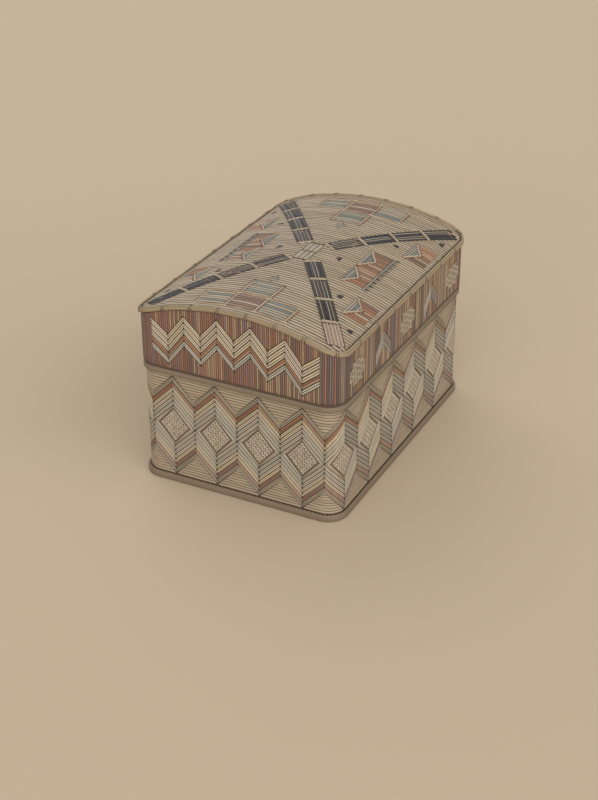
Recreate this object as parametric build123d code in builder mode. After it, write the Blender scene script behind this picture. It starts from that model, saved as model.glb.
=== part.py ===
"""Lidded bark box covered with dyed quillwork, with a barrel-vaulted lid that lifts off."""
from build123d import *

import os
from math import asin, atan2, cos, degrees, hypot, pi, radians, sin, sqrt, tan

# Overall form: the vault runs along X, Z is up, and the box stands on Z = 0
BODY_LENGTH = 216.0          # over the quilled end walls, along X
BODY_WIDTH = 150.0           # over the quilled long walls, along Y
BODY_HEIGHT = 87.0           # floor to the seat of the lid
CORNER_RADIUS = 13.0         # quilled wall, seen from above
LID_EAVE_HEIGHT = 38.4       # seat of the lid to the top edge of its long sides
VAULT_RISE = 15.8            # eave to crown

# Sheets, from the outside in
QUILL_THICKNESS = 1.0
BARK_THICKNESS = 1.6         # outer wall, lid band and vault
LINER_THICKNESS = 1.6        # inner liner, which stands up to guide the lid
LINING_THICKNESS = 1.2       # lining of the lid
LAYER_GAP = 0.1              # between sheets that lie on each other
LID_CLEARANCE = 0.5          # between the liner and the lining of the lid
FLANGE_HEIGHT = 20.0         # liner above the seat of the lid
SEAM_WIDTH = 0.4             # slit where the two ends of a bent sheet meet
LAP_LENGTH = 22.0            # tongue of the liner that laps over its seam
LAP_ROOT = 8.0               # part of the tongue that is bent out of the liner

# Floor of the box, and the pegs that hold it
BOARD_THICKNESS = 6.0
PEG_SIDE = 2.4               # pegs are split square
PEG_LENGTH = 12.0
PEG_CLEARANCE = 0.05
PEGS_PER_SIDE = 3
PEGS_PER_END = 2

# Root hoops and stitches
BASE_RIM_HEIGHT = 5.2
BASE_RIM_PROUD = 1.7         # beyond the quilled wall
UPPER_RIM_HEIGHT = 4.4
UPPER_RIM_PROUD = 1.2
RIM_CHAMFER = 1.1
BINDING_WIDTH = 2.0          # root round the top edge of the lid
BINDING_ABOVE = 0.6          # its top, above the quills of the vault
BINDING_BELOW = 3.0          # its foot, below the quills of the vault
STITCH_WIDTH = 2.2
STITCH_THICKNESS = 0.7
STITCHES_PER_SIDE = 7
STITCHES_PER_END = 6
LAP_STITCHES = 5
LAP_STITCH_LENGTH = 12.0
LAP_STITCH_TILT = 25.0

# Quillwork of the wall: zigzag rows above and below a belt of diamonds
GROOVE = 0.25                # between neighbouring bundles of quills
CORNER_FACETS = 4            # flat facets in which the quills bend round a corner
END_DIAMONDS = 5             # periods between the columns by the corners
SIDE_DIAMONDS = 5
COLUMN_SHARE = 0.88          # of the way from a corner's middle to the long side, where its column stands
EDGE_NECK = 0.8              # ivory left between a peak and the rim
ZIGZAG_DROP = 12.0           # peak to valley of the outer zigzag
GREY_ROW = 4.0
RUST_ROW = 3.9
FRAME_HALF_HEIGHT = 15.6
FRAME_SHARE = 0.98           # half width, as a share of the way to the next waist
CHECK_HALF_HEIGHT = 13.0
CHECK_SHARE = 0.7

# Quillwork of the lid's ends: five zigzag rows that follow the arch
LID_ZIG_LEGS = 10
LID_ZIG_PEAK = 31.5          # highest peak above the seat, where the vault has no rise
LID_ZIG_DROP = 13.0
LID_ZIG_ROW = 4.4
LID_ZIG_RUST = 3             # which row is rust, counted from 0 at the top
LID_ZIG_COUNT = 5
ARCH_SHARE = 0.9             # share of the vault's rise that the zigzag follows
LID_FOOT_GAP = 0.6           # quills of the lid above its seat

# Quillwork of the lid's long sides: crosses and arrows by turns
MOTIF_MARGIN = 13.0          # middle of the last cross to the end of the flat
MOTIF_HEIGHT = 16.5          # middle of a cross above the seat
CROSS_WIDTH = 24.0
CROSS_HEIGHT = 17.0
CROSS_STEP = 4.5
ARROW_HALF_WIDTH = 12.5
ARROW_SHOULDER = 13.0        # drop from the tip to a shoulder
ARROW_LEG = 10.0             # height of a leg
ARROW_TIP = 27.0             # above the seat

# Quillwork of the vault: a diagonal cross, stepped blocks and a plaid of squares
ARM_WIDTH = 11.0
ARM_START = 18.0             # centre of the vault to the first dark bar
ARM_END_GAP = 11.5           # last bar to the corner of the plan
ARM_BARS = 4
TIE_LENGTH = 2.6
TIE_PROUD = 0.4
CENTRE_BLOCK_LENGTH = 13.0
CENTRE_BLOCK_WIDTH = 11.0
CENTRE_BLOCK_GAP = 1.2       # between the two blocks
BLOCK_HALF_WIDTH = 14.0
BLOCK_HEIGHT = 16.5
BLOCK_NOTCH = 8.5
BLOCK_LEAN = 1.0             # a block's side leans in by this much
LOW_BLOCK_SHARE = 0.457       # middle of the low blocks, as a share of the vault's half length
LOW_BLOCK_EDGE = 4.0         # foot of the low blocks to the edge of the vault
HIGH_BLOCK_EDGE = 23.0
UNDERLINE = 1.6
SQUARE = 20.0
SQUARE_GAP = 2.2
SQUARE_EDGE = 8.0
LAID_THICKNESS = 0.6         # blocks, squares and tufts, which are laid over the field
LOZENGE_LENGTH = 10.0
LOZENGE_WIDTH = 8.0
TUFT_WIDTH = 4.4
TUFT_HEIGHT = 4.0
TUFT_OFFSET = 11.5           # middle line of an arm to its tufts
TUFT_SHARES = (0.53, 0.85)   # along an arm, as shares of its reach from the centre
APEX_TUFT = 23.0             # from the centre, on the way to a long side

# Insets of each face from the quilled wall; a negative one lies outside it
WALL_FACE = QUILL_THICKNESS
WALL_BACK = WALL_FACE + BARK_THICKNESS
LINER_FACE = WALL_BACK + LAYER_GAP
LINER_BACK = LINER_FACE + LINER_THICKNESS
LID_LINING_BACK = LINER_FACE - LID_CLEARANCE
LID_LINING_FACE = LID_LINING_BACK - LINING_THICKNESS
LID_BARK_BACK = LID_LINING_FACE - LAYER_GAP
LID_BARK_FACE = LID_BARK_BACK - BARK_THICKNESS
LID_QUILL_FACE = LID_BARK_FACE - QUILL_THICKNESS
BINDING_BACK = LID_BARK_FACE - LAYER_GAP
BINDING_FACE = BINDING_BACK - BINDING_WIDTH
STITCH_BACK = BINDING_FACE - LAYER_GAP
STITCH_FACE = STITCH_BACK - STITCH_THICKNESS

# Vault: a cylinder along X through the two eaves, and depths below its quills
HALF_CHORD = BODY_WIDTH / 2 - LID_QUILL_FACE
VAULT_RADIUS = (HALF_CHORD ** 2 + VAULT_RISE ** 2) / (2 * VAULT_RISE)
EAVE_Z = BODY_HEIGHT + LID_EAVE_HEIGHT
CROWN_Z = EAVE_Z + VAULT_RISE
VAULT_AXIS_Z = CROWN_Z - VAULT_RADIUS
TOP_BARK_DEPTH = QUILL_THICKNESS
TOP_BARK_BACK = TOP_BARK_DEPTH + BARK_THICKNESS
TOP_LINING_DEPTH = TOP_BARK_BACK + LAYER_GAP
TOP_LINING_BACK = TOP_LINING_DEPTH + LINING_THICKNESS

# Flat stretches of the walls, which are the same on every layer
END_FLAT = BODY_WIDTH - 2 * CORNER_RADIUS
SIDE_FLAT = BODY_LENGTH - 2 * CORNER_RADIUS

# The belt of quills on the wall, between the two rims
BELT_LOW = BASE_RIM_HEIGHT + LAYER_GAP
BELT_HIGH = BODY_HEIGHT - UPPER_RIM_HEIGHT - LAYER_GAP
BELT_HALF = (BELT_HIGH - BELT_LOW) / 2
BELT_MID = (BELT_HIGH + BELT_LOW) / 2
HALF_ARC = CORNER_RADIUS * pi / 4

# Middle of a corner's arc, seen from above
ARC_X = SIDE_FLAT / 2
ARC_Y = END_FLAT / 2

# Edge of the vault's quills, seen from above, and the direction of a cross arm
TOP_HALF_X = BODY_LENGTH / 2 - LID_BARK_FACE
TOP_HALF_Y = BODY_WIDTH / 2 - LID_BARK_FACE
ARM_ANGLE = degrees(atan2(TOP_HALF_Y, TOP_HALF_X))
ARM_END = hypot(TOP_HALF_X, TOP_HALF_Y) - ARM_END_GAP


def plan(inset, mode=Mode.ADD):
    """Rounded rectangle of the box seen from above, drawn in by inset from the quilled wall."""
    length = BODY_LENGTH - 2 * inset
    width = BODY_WIDTH - 2 * inset
    return RectangleRounded(length, width, CORNER_RADIUS - inset, mode=mode)


def ring(face, back, low, high, seam_x=None):
    """Upright sheet bent into a ring between two insets, slit at the back where seam_x says."""
    with BuildPart() as sheet:
        with BuildSketch(Plane.XY.offset(low)):
            plan(face)
            plan(back, mode=Mode.SUBTRACT)
            if seam_x is not None:
                with Locations((seam_x, BODY_WIDTH / 2)):
                    Rectangle(SEAM_WIDTH, 4 * CORNER_RADIUS, mode=Mode.SUBTRACT)
        extrude(amount=high - low)
    return sheet.part


def vault_layer(top, bottom=None):
    """Layer of the vault between two depths below its quills, or all below the first one."""
    with BuildPart() as layer:
        with BuildSketch(Plane.YZ):
            with Locations((0, VAULT_AXIS_Z)):
                Circle(VAULT_RADIUS - top)
                if bottom is not None:
                    Circle(VAULT_RADIUS - bottom, mode=Mode.SUBTRACT)
            with Locations((0, BODY_HEIGHT)):
                Rectangle(BODY_WIDTH * 2, CROWN_Z, align=(Align.CENTER, Align.MIN), mode=Mode.INTERSECT)
        extrude(amount=BODY_LENGTH, both=True)
    return layer.part


def vault_height(y):
    """Height of the quilled vault above its eave, at a distance from the middle plane."""
    return sqrt(VAULT_RADIUS ** 2 - y ** 2) + VAULT_AXIS_Z - EAVE_Z


def face_planes(inset, height):
    """Planes on the four flat walls at an inset, with their X along the wall and Z outwards."""
    x = BODY_LENGTH / 2 - inset
    y = BODY_WIDTH / 2 - inset
    ends = [Plane((x, 0, height), (0, 1, 0), (1, 0, 0)), Plane((-x, 0, height), (0, -1, 0), (-1, 0, 0))]
    sides = [Plane((0, y, height), (-1, 0, 0), (0, 1, 0)), Plane((0, -y, height), (1, 0, 0), (0, -1, 0))]
    return ends, sides


def spread(count, span):
    """Places of count pieces spread evenly over a span, half a step in from its ends."""
    return [span * ((i + 0.5) / count - 0.5) for i in range(count)]


# Base board, its pegs, and the seats that both share
BOARD_INSET = LINER_BACK + LAYER_GAP
PEG_Z = BOARD_THICKNESS / 2
PEG_ENDS, PEG_SIDES = face_planes(LINER_FACE, PEG_Z)
PEG_SEATS = [plane * Pos(x, 0, 0) for plane in PEG_ENDS for x in spread(PEGS_PER_END, END_FLAT)]
PEG_SEATS += [plane * Pos(x, 0, 0) for plane in PEG_SIDES for x in spread(PEGS_PER_SIDE, SIDE_FLAT)]
PEG_ALIGN = (Align.CENTER, Align.CENTER, Align.MAX)
PEG_HOLE = PEG_SIDE + 2 * PEG_CLEARANCE

with BuildPart() as base_board:
    with BuildSketch():
        plan(BOARD_INSET)
    extrude(amount=BOARD_THICKNESS)
    with Locations(*PEG_SEATS):
        Box(PEG_HOLE, PEG_HOLE, PEG_LENGTH, align=PEG_ALIGN, mode=Mode.SUBTRACT)

with BuildPart() as base_pegs:
    with Locations(*PEG_SEATS):
        Box(PEG_SIDE, PEG_SIDE, PEG_LENGTH - PEG_CLEARANCE, align=PEG_ALIGN)

# Inner liner: a sheet bent into a ring, with a tongue that laps over its seam inside the back wall
LINER_TOP = BODY_HEIGHT + FLANGE_HEIGHT
LAP_LOW = BOARD_THICKNESS + LAYER_GAP
LINER_INNER_Y = BODY_WIDTH / 2 - LINER_BACK
TONGUE_Y = LINER_INNER_Y - LAYER_GAP - LINER_THICKNESS

with BuildPart() as inner_liner:
    add(ring(LINER_FACE, LINER_BACK, 0, LINER_TOP, seam_x=0))
    with Locations(*PEG_SEATS):
        Box(PEG_HOLE, PEG_HOLE, PEG_LENGTH, align=PEG_ALIGN, mode=Mode.SUBTRACT)
    with BuildSketch(Plane.XY.offset(LAP_LOW)):
        with Locations((SEAM_WIDTH / 2 + LAP_ROOT, TONGUE_Y)):
            Rectangle(LAP_LENGTH, LINER_THICKNESS, align=(Align.MAX, Align.MIN))
            Rectangle(LAP_ROOT, LINER_INNER_Y - TONGUE_Y, align=(Align.MAX, Align.MIN))
    extrude(amount=LINER_TOP - LAP_LOW)

LAP_MIDDLE = SEAM_WIDTH / 2 + LAP_ROOT - LAP_LENGTH / 2
STITCH_PLANE = Plane((LAP_MIDDLE, TONGUE_Y, (LAP_LOW + LINER_TOP) / 2), (1, 0, 0), (0, -1, 0))

with BuildPart() as liner_stitches:
    with BuildSketch(STITCH_PLANE):
        with Locations(*[(0, z) for z in spread(LAP_STITCHES, LINER_TOP - LAP_LOW)]):
            Rectangle(LAP_STITCH_LENGTH, STITCH_WIDTH, rotation=LAP_STITCH_TILT)
    extrude(amount=STITCH_THICKNESS)

with BuildPart() as outer_wall:
    add(ring(WALL_FACE, WALL_BACK, 0, BODY_HEIGHT, seam_x=SIDE_FLAT / 4))

# Root hoops round the foot and the mouth of the wall
with BuildPart() as base_rim:
    add(ring(-BASE_RIM_PROUD, WALL_FACE - LAYER_GAP, 0, BASE_RIM_HEIGHT))
    chamfer(base_rim.faces().sort_by(Axis.Z)[-1].outer_wire().edges(), RIM_CHAMFER)

with BuildPart() as upper_rim:
    add(ring(-UPPER_RIM_PROUD, WALL_FACE - LAYER_GAP, BODY_HEIGHT - UPPER_RIM_HEIGHT, BODY_HEIGHT))
    chamfer(upper_rim.faces().sort_by(Axis.Z)[0].outer_wire().edges(), RIM_CHAMFER)

# Stations along a wall: where a diamond column (share 0) or a waist (share 1) stands
COLUMN = COLUMN_SHARE * HALF_ARC
END_PERIOD = (END_FLAT + 2 * HALF_ARC + 2 * COLUMN) / END_DIAMONDS
SIDE_PERIOD = (SIDE_FLAT + 2 * HALF_ARC - 2 * COLUMN) / SIDE_DIAMONDS
END_STATIONS = [((k - END_DIAMONDS) * END_PERIOD / 2, k % 2) for k in range(2 * END_DIAMONDS + 1)]
SIDE_STATIONS = [((k - SIDE_DIAMONDS) * SIDE_PERIOD / 2, k % 2) for k in range(2 * SIDE_DIAMONDS + 1)]
CORNER_STATIONS = [(COLUMN - END_PERIOD, 0), (COLUMN - END_PERIOD / 2, 1), (COLUMN, 0),
                   (COLUMN + SIDE_PERIOD / 2, 1)]

# Quills bend round a corner in narrow flat facets, whose edges lie on the corner's radius
FACET_ANGLE = 90 / CORNER_FACETS
FACET_ARC = 2 * HALF_ARC / CORNER_FACETS
FACET_REACH = CORNER_RADIUS * cos(radians(FACET_ANGLE / 2))
FACET_BACK = CORNER_RADIUS - QUILL_THICKNESS + LAYER_GAP
FACET_WIDTH = 2 * FACET_BACK * tan(radians(FACET_ANGLE / 2)) - LAYER_GAP


def facet_plane(k, x_sign, y_sign):
    """Plane on the back of facet k of a corner, counted from the end wall, with Z outwards."""
    angle = radians((k + 0.5) * FACET_ANGLE)
    out = Vector(x_sign * cos(angle), y_sign * sin(angle), 0)
    along = Vector(-x_sign * sin(angle), y_sign * cos(angle), 0)
    corner = Vector(x_sign * ARC_X, y_sign * ARC_Y, BELT_MID)
    return Plane(corner + out * FACET_BACK, along if x_sign == y_sign else along * -1, out)


def belt_panels():
    """Each flat panel of the belt: its plane, stations, width and thickness."""
    ends, sides = face_planes(WALL_FACE, BELT_MID)
    panels = [(plane, END_STATIONS, END_FLAT - GROOVE, QUILL_THICKNESS) for plane in ends]
    panels += [(plane, SIDE_STATIONS, SIDE_FLAT - GROOVE, QUILL_THICKNESS) for plane in sides]
    for x_sign, y_sign in ((1, 1), (1, -1), (-1, 1), (-1, -1)):
        for k in range(CORNER_FACETS):
            middle = (k + 0.5) * FACET_ARC - HALF_ARC
            turn = x_sign * y_sign
            stations = sorted((turn * (s - middle), share) for s, share in CORNER_STATIONS)
            panels.append((facet_plane(k, x_sign, y_sign), stations, FACET_WIDTH, FACET_REACH - FACET_BACK))
    return panels


BELT_PANELS = belt_panels()


def row_outline(stations, upper, lower):
    """Zigzag row between two edges, each given by its heights at a diamond column and at a waist."""
    top = [(s, upper[0] + (upper[1] - upper[0]) * share) for s, share in stations]
    bottom = [(s, lower[0] + (lower[1] - lower[0]) * share) for s, share in reversed(stations)]
    return top + bottom


def wall_row(upper, lower):
    """Zigzag row of quills round the wall above its waist line, and its mirror image below it."""
    with BuildPart() as belt:
        for plane, stations, width, thickness in BELT_PANELS:
            with BuildSketch(plane):
                with BuildLine():
                    Polyline(*row_outline(stations, upper, lower), close=True)
                make_face()
                Rectangle(width, 2 * BELT_HALF, mode=Mode.INTERSECT)
            extrude(amount=thickness)
        mirror(about=Plane.XY.offset(BELT_MID))
    return belt.part


def diamond(left, right, half_height, mode=Mode.ADD):
    """Upright diamond round the present place, with its side tips at their own distances."""
    points = ((-left, 0), (0, -half_height), (right, 0), (0, half_height))
    return Polygon(*points, align=None, mode=mode)


def diamond_reaches(stations):
    """Place of each diamond column, and its distances from the waists on its left and right."""
    places = [s for s, share in stations]
    reaches = []
    for i, (s, share) in enumerate(stations):
        if share == 0:
            before = s - places[i - 1] if i > 0 else places[1] - s
            after = places[i + 1] - s if i + 1 < len(places) else before
            reaches.append((s, before, after))
    return reaches


def wall_diamonds(share, half_height, hole=None):
    """Diamonds at the diamond columns, as wide as a share of the way to the waists beside them.

    The hole, if there is one, is the share and the half height of a smaller diamond cut out of each.
    """
    with BuildPart() as belt:
        for plane, stations, width, thickness in BELT_PANELS:
            met = [(s, before, after) for s, before, after in diamond_reaches(stations)
                   if s - share * before < width / 2 and s + share * after > -width / 2]
            if not met:
                continue
            with BuildSketch(plane):
                for s, before, after in met:
                    with Locations((s, 0)):
                        diamond(share * before, share * after, half_height)
                        if hole is not None:
                            diamond(hole[0] * before, hole[0] * after, hole[1], mode=Mode.SUBTRACT)
                Rectangle(width, 2 * BELT_HALF, mode=Mode.INTERSECT)
            extrude(amount=thickness)
    return belt.part


def shifted(edge, amount):
    """A row's edge moved up or down."""
    return edge[0] + amount, edge[1] + amount


# Edges of the rows above the waist line, each as (height at a diamond column, height at a waist)
BELT_EDGE = (BELT_HALF, BELT_HALF)
GREY_EDGE = (BELT_HALF - EDGE_NECK, BELT_HALF - EDGE_NECK - ZIGZAG_DROP)
RUST_EDGE = shifted(GREY_EDGE, -GREY_ROW)
IVORY_EDGE = shifted(RUST_EDGE, -RUST_ROW)
FRAME_EDGE = (FRAME_HALF_HEIGHT + GROOVE, GROOVE / 2)
CHECK_SHRINK = 1 - 2 * GROOVE / CHECK_HALF_HEIGHT

with BuildPart() as wall_edge_quills:
    add(wall_row(BELT_EDGE, GREY_EDGE))

with BuildPart() as wall_grey_quills:
    add(wall_row(shifted(GREY_EDGE, -GROOVE), RUST_EDGE))

with BuildPart() as wall_rust_quills:
    add(wall_row(shifted(RUST_EDGE, -GROOVE), IVORY_EDGE))

with BuildPart() as wall_ivory_quills:
    add(wall_row(shifted(IVORY_EDGE, -GROOVE), FRAME_EDGE))

with BuildPart() as diamond_frame_quills:
    add(wall_diamonds(FRAME_SHARE, FRAME_HALF_HEIGHT, hole=(CHECK_SHARE, CHECK_HALF_HEIGHT)))

with BuildPart() as diamond_check_quills:
    add(wall_diamonds(CHECK_SHARE * CHECK_SHRINK, CHECK_HALF_HEIGHT * CHECK_SHRINK))

# Lid: upright band and vault of bark, each with its lining
with BuildPart() as lid_band:
    add(ring(LID_BARK_FACE, LID_BARK_BACK, BODY_HEIGHT, CROWN_Z, seam_x=-SIDE_FLAT / 4))
    add(vault_layer(TOP_BARK_BACK + LAYER_GAP), mode=Mode.INTERSECT)

with BuildPart() as lid_band_lining:
    add(ring(LID_LINING_FACE, LID_LINING_BACK, BODY_HEIGHT, CROWN_Z, seam_x=SIDE_FLAT / 4))
    add(vault_layer(TOP_LINING_BACK + LAYER_GAP), mode=Mode.INTERSECT)

with BuildPart() as lid_top:
    with BuildSketch(Plane.XY.offset(BODY_HEIGHT)):
        plan(LID_BARK_FACE)
    extrude(amount=CROWN_Z - BODY_HEIGHT)
    add(vault_layer(TOP_BARK_DEPTH, TOP_BARK_BACK), mode=Mode.INTERSECT)

with BuildPart() as lid_top_lining:
    with BuildSketch(Plane.XY.offset(BODY_HEIGHT)):
        plan(LID_LINING_FACE)
    extrude(amount=CROWN_Z - BODY_HEIGHT)
    add(vault_layer(TOP_LINING_DEPTH, TOP_LINING_BACK), mode=Mode.INTERSECT)

# Root bound round the top edge of the lid, and the stitches that hold it
with BuildPart() as lid_edge_binding:
    add(ring(BINDING_FACE, BINDING_BACK, BODY_HEIGHT, CROWN_Z + BINDING_WIDTH))
    add(vault_layer(-BINDING_ABOVE, BINDING_BELOW), mode=Mode.INTERSECT)


def strap(edge, heights):
    """Strap over the binding in a plane whose X points outwards from the middle plane of the box.

    The heights are of its foot, of its underside over the binding's inner and outer edge, and of
    its top over its own inner and outer edge.
    """
    foot, seat_in, seat_out, top_in, top_out = heights
    with BuildPart() as piece:
        with BuildSketch(edge):
            Polygon((-STITCH_FACE, foot), (-STITCH_FACE, top_out), (-BINDING_BACK, top_in),
                    (-BINDING_BACK, seat_in), (-STITCH_BACK, seat_out), (-STITCH_BACK, foot), align=None)
        extrude(amount=STITCH_WIDTH / 2, both=True)
    return piece.part


def side_height(inset, depth):
    """Height, at an inset from the long wall, of the surface at a depth below the vault's quills."""
    return sqrt((VAULT_RADIUS - depth) ** 2 - (BODY_WIDTH / 2 - inset) ** 2) + VAULT_AXIS_Z


SEAT_DEPTH = -BINDING_ABOVE - LAYER_GAP
STRAP_DEPTH = SEAT_DEPTH - STITCH_THICKNESS
END_HEIGHTS = (-BINDING_BELOW, -SEAT_DEPTH, -SEAT_DEPTH, -STRAP_DEPTH, -STRAP_DEPTH)
SIDE_HEIGHTS = (side_height(BINDING_FACE, BINDING_BELOW), side_height(BINDING_BACK, SEAT_DEPTH),
                side_height(STITCH_BACK, SEAT_DEPTH), side_height(BINDING_BACK, STRAP_DEPTH),
                side_height(STITCH_FACE, STRAP_DEPTH))

with BuildPart() as lid_edge_stitches:
    for sign in (1, -1):
        for x in spread(STITCHES_PER_SIDE, SIDE_FLAT):
            add(strap(Plane((x, sign * BODY_WIDTH / 2, 0), (0, sign, 0), (sign, 0, 0)), SIDE_HEIGHTS))
        for y in spread(STITCHES_PER_END, END_FLAT):
            rise = asin(y / VAULT_RADIUS)
            foot = (sign * BODY_LENGTH / 2, y, VAULT_AXIS_Z + VAULT_RADIUS * cos(rise))
            add(strap(Plane(foot, (sign, 0, 0), (0, -sign * cos(rise), sign * sin(rise))), END_HEIGHTS))

# Quills on the lid's ends
LID_FOOT = BODY_HEIGHT + LID_FOOT_GAP
LID_ENDS, LID_SIDES = face_planes(LID_BARK_FACE, BODY_HEIGHT)
UNDER_BINDING = BINDING_BELOW + LAYER_GAP
LID_ZIG_PLACES = [(k / LID_ZIG_LEGS - 0.5) * END_FLAT for k in range(LID_ZIG_LEGS + 1)]


def end_zig(row):
    """Points of the zigzag line above a row: peaks and valleys that follow the arch in part."""
    heights = [ARCH_SHARE * vault_height(y) - LID_ZIG_DROP * (k % 2) for k, y in enumerate(LID_ZIG_PLACES)]
    return [(y, LID_ZIG_PEAK + h - row * LID_ZIG_ROW) for y, h in zip(LID_ZIG_PLACES, heights)]


def end_rows(rows):
    """Outline of a run of zigzag rows on the lid's end, from the first row to the one after the last."""
    return end_zig(rows[0]) + end_zig(rows[1])[::-1]


def end_quills(runs):
    """Zigzag rows on both ends of the lid, with a groove under each run of rows."""
    with BuildPart() as quills:
        for plane in LID_ENDS:
            with BuildSketch(plane):
                for first, after in runs:
                    with BuildLine():
                        Polyline(*end_rows((first, after - GROOVE / LID_ZIG_ROW)), close=True)
                    make_face()
                Rectangle(END_FLAT - GROOVE, 2 * CROWN_Z, mode=Mode.INTERSECT)
            extrude(amount=QUILL_THICKNESS)
    return quills.part


with BuildPart() as end_ivory_zigzag_quills:
    add(end_quills([(0, LID_ZIG_RUST), (LID_ZIG_RUST + 1, LID_ZIG_COUNT)]))

with BuildPart() as end_rust_zigzag_quills:
    add(end_quills([(LID_ZIG_RUST, LID_ZIG_RUST + 1)]))

with BuildPart() as end_fill_quills:
    for plane in LID_ENDS:
        with BuildSketch(plane):
            with Locations((0, LID_FOOT_GAP)):
                Rectangle(END_FLAT - GROOVE, CROWN_Z - LID_FOOT, align=(Align.CENTER, Align.MIN))
            with BuildLine():
                Polyline(*end_rows((-GROOVE / LID_ZIG_ROW, LID_ZIG_COUNT)), close=True)
            make_face(mode=Mode.SUBTRACT)
        extrude(amount=QUILL_THICKNESS)
    add(vault_layer(UNDER_BINDING), mode=Mode.INTERSECT)

# Upright quills round the lid's corners
with BuildPart() as lid_corner_quills:
    with BuildSketch(Plane.XY.offset(LID_FOOT)):
        plan(LID_QUILL_FACE)
        plan(LID_BARK_FACE, mode=Mode.SUBTRACT)
        Rectangle(SIDE_FLAT, 2 * BODY_WIDTH, mode=Mode.SUBTRACT)
        Rectangle(2 * BODY_LENGTH, END_FLAT, mode=Mode.SUBTRACT)
    extrude(amount=CROWN_Z - LID_FOOT)
    add(vault_layer(UNDER_BINDING), mode=Mode.INTERSECT)

# Quills on the lid's long sides: stepped crosses and arrows, and the rust quills round them
MOTIF_PITCH = (SIDE_FLAT / 2 - MOTIF_MARGIN) / 2
CROSS_PLACES = [(x * MOTIF_PITCH, MOTIF_HEIGHT) for x in (-2, 0, 2)]
ARROW_PLACES = [(x * MOTIF_PITCH, ARROW_TIP) for x in (-1, 1)]


def stepped_crosses(grow=0.0, mode=Mode.ADD):
    """Crosses with stepped corners, larger all round by grow."""
    with Locations(*CROSS_PLACES):
        Rectangle(CROSS_WIDTH + 2 * grow, CROSS_HEIGHT - 2 * CROSS_STEP + 2 * grow, mode=mode)
        Rectangle(CROSS_WIDTH - 2 * CROSS_STEP + 2 * grow, CROSS_HEIGHT + 2 * grow, mode=mode)


def arrows(grow=0.0, mode=Mode.ADD):
    """Arrow heads that point up, with straight legs, larger by grow."""
    half = ARROW_HALF_WIDTH + grow
    shoulder = -ARROW_SHOULDER + grow
    foot = -ARROW_SHOULDER - ARROW_LEG - grow
    crotch = -ARROW_LEG - grow
    right = [(0, grow), (half, shoulder), (half, foot), (0, crotch)]
    left = [(-half, foot), (-half, shoulder)]
    with Locations(*ARROW_PLACES):
        Polygon(*right, *left, align=None, mode=mode)


with BuildPart() as side_cross_quills:
    for plane in LID_SIDES:
        with BuildSketch(plane):
            stepped_crosses()
        extrude(amount=QUILL_THICKNESS)

with BuildPart() as side_arrow_quills:
    for plane in LID_SIDES:
        with BuildSketch(plane):
            arrows()
        extrude(amount=QUILL_THICKNESS)

with BuildPart() as side_fill_quills:
    for plane in LID_SIDES:
        with BuildSketch(plane):
            with Locations((0, LID_FOOT_GAP)):
                Rectangle(SIDE_FLAT - GROOVE, LID_EAVE_HEIGHT, align=(Align.CENTER, Align.MIN))
            stepped_crosses(GROOVE, Mode.SUBTRACT)
            arrows(GROOVE, Mode.SUBTRACT)
        extrude(amount=QUILL_THICKNESS)
    add(vault_layer(UNDER_BINDING), mode=Mode.INTERSECT)

# Places of the vault's quills, seen from above
ARM_FOOT = ARM_START - TIE_LENGTH
BAR_LENGTH = (ARM_END - ARM_START - (ARM_BARS - 1) * TIE_LENGTH) / ARM_BARS
BAR_MIDDLES = [ARM_START + BAR_LENGTH / 2 + i * (BAR_LENGTH + TIE_LENGTH) for i in range(ARM_BARS)]
TIE_MIDDLES = [middle - (BAR_LENGTH + TIE_LENGTH) / 2 for middle in BAR_MIDDLES]
ARM_SLOT_WIDTH = ARM_WIDTH + 2 * TIE_PROUD + 2 * GROOVE
SQUARE_X = TOP_HALF_X - SQUARE_EDGE - SQUARE / 2
SQUARE_STEP = SQUARE + SQUARE_GAP
LOZENGE_X = SQUARE_X - SQUARE_STEP - SQUARE / 2 - SQUARE_GAP - LOZENGE_LENGTH / 2
HIGH_BLOCK = (BLOCK_HALF_WIDTH + GROOVE / 2, TOP_HALF_Y - HIGH_BLOCK_EDGE - BLOCK_HEIGHT / 2)
LOW_BLOCK = (LOW_BLOCK_SHARE * TOP_HALF_X, TOP_HALF_Y - LOW_BLOCK_EDGE - BLOCK_HEIGHT / 2)


def along_arm(distance, across=0.0):
    """Place in the first quarter, at a distance along the arm and across from its middle line."""
    place = Rotation(0, 0, ARM_ANGLE) * Pos(distance, across, 0)
    return place.position.X, place.position.Y


def vault_plane(place, depth):
    """Plane that touches the vault over a place, at a depth below its quills, with its X along X."""
    x, y = place
    rise = asin(y / VAULT_RADIUS)
    normal = Vector(0, sin(rise), cos(rise))
    return Plane(Vector(x, 0, VAULT_AXIS_Z) + normal * (VAULT_RADIUS - depth), (1, 0, 0), normal)


def four_quarters():
    """Repeat what stands in the first quarter in the other three."""
    mirror(about=Plane.XZ)
    mirror(about=Plane.YZ)


def inlaid_quills(footprint):
    """The vault's layer of quills within a footprint."""
    with BuildPart() as quills:
        with BuildSketch(Plane.XY.offset(BODY_HEIGHT)):
            add(footprint.sketch)
        extrude(amount=CROWN_Z - BODY_HEIGHT)
        add(vault_layer(0, QUILL_THICKNESS), mode=Mode.INTERSECT)
    return quills.part


def laid_quills(outlines):
    """Flat patches of quills over the field; each outline is a place and points round it."""
    with BuildPart() as quills:
        for place, points in outlines:
            with BuildSketch(vault_plane(place, -LAYER_GAP)):
                Polygon(*points, align=None)
            extrude(amount=LAID_THICKNESS)
        four_quarters()
    return quills.part


def box_points(width, height, middle=0.0):
    """Corners of a rectangle whose middle lies above the place."""
    low = middle - height / 2
    high = middle + height / 2
    return [(-width / 2, low), (width / 2, low), (width / 2, high), (-width / 2, high)]


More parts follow.
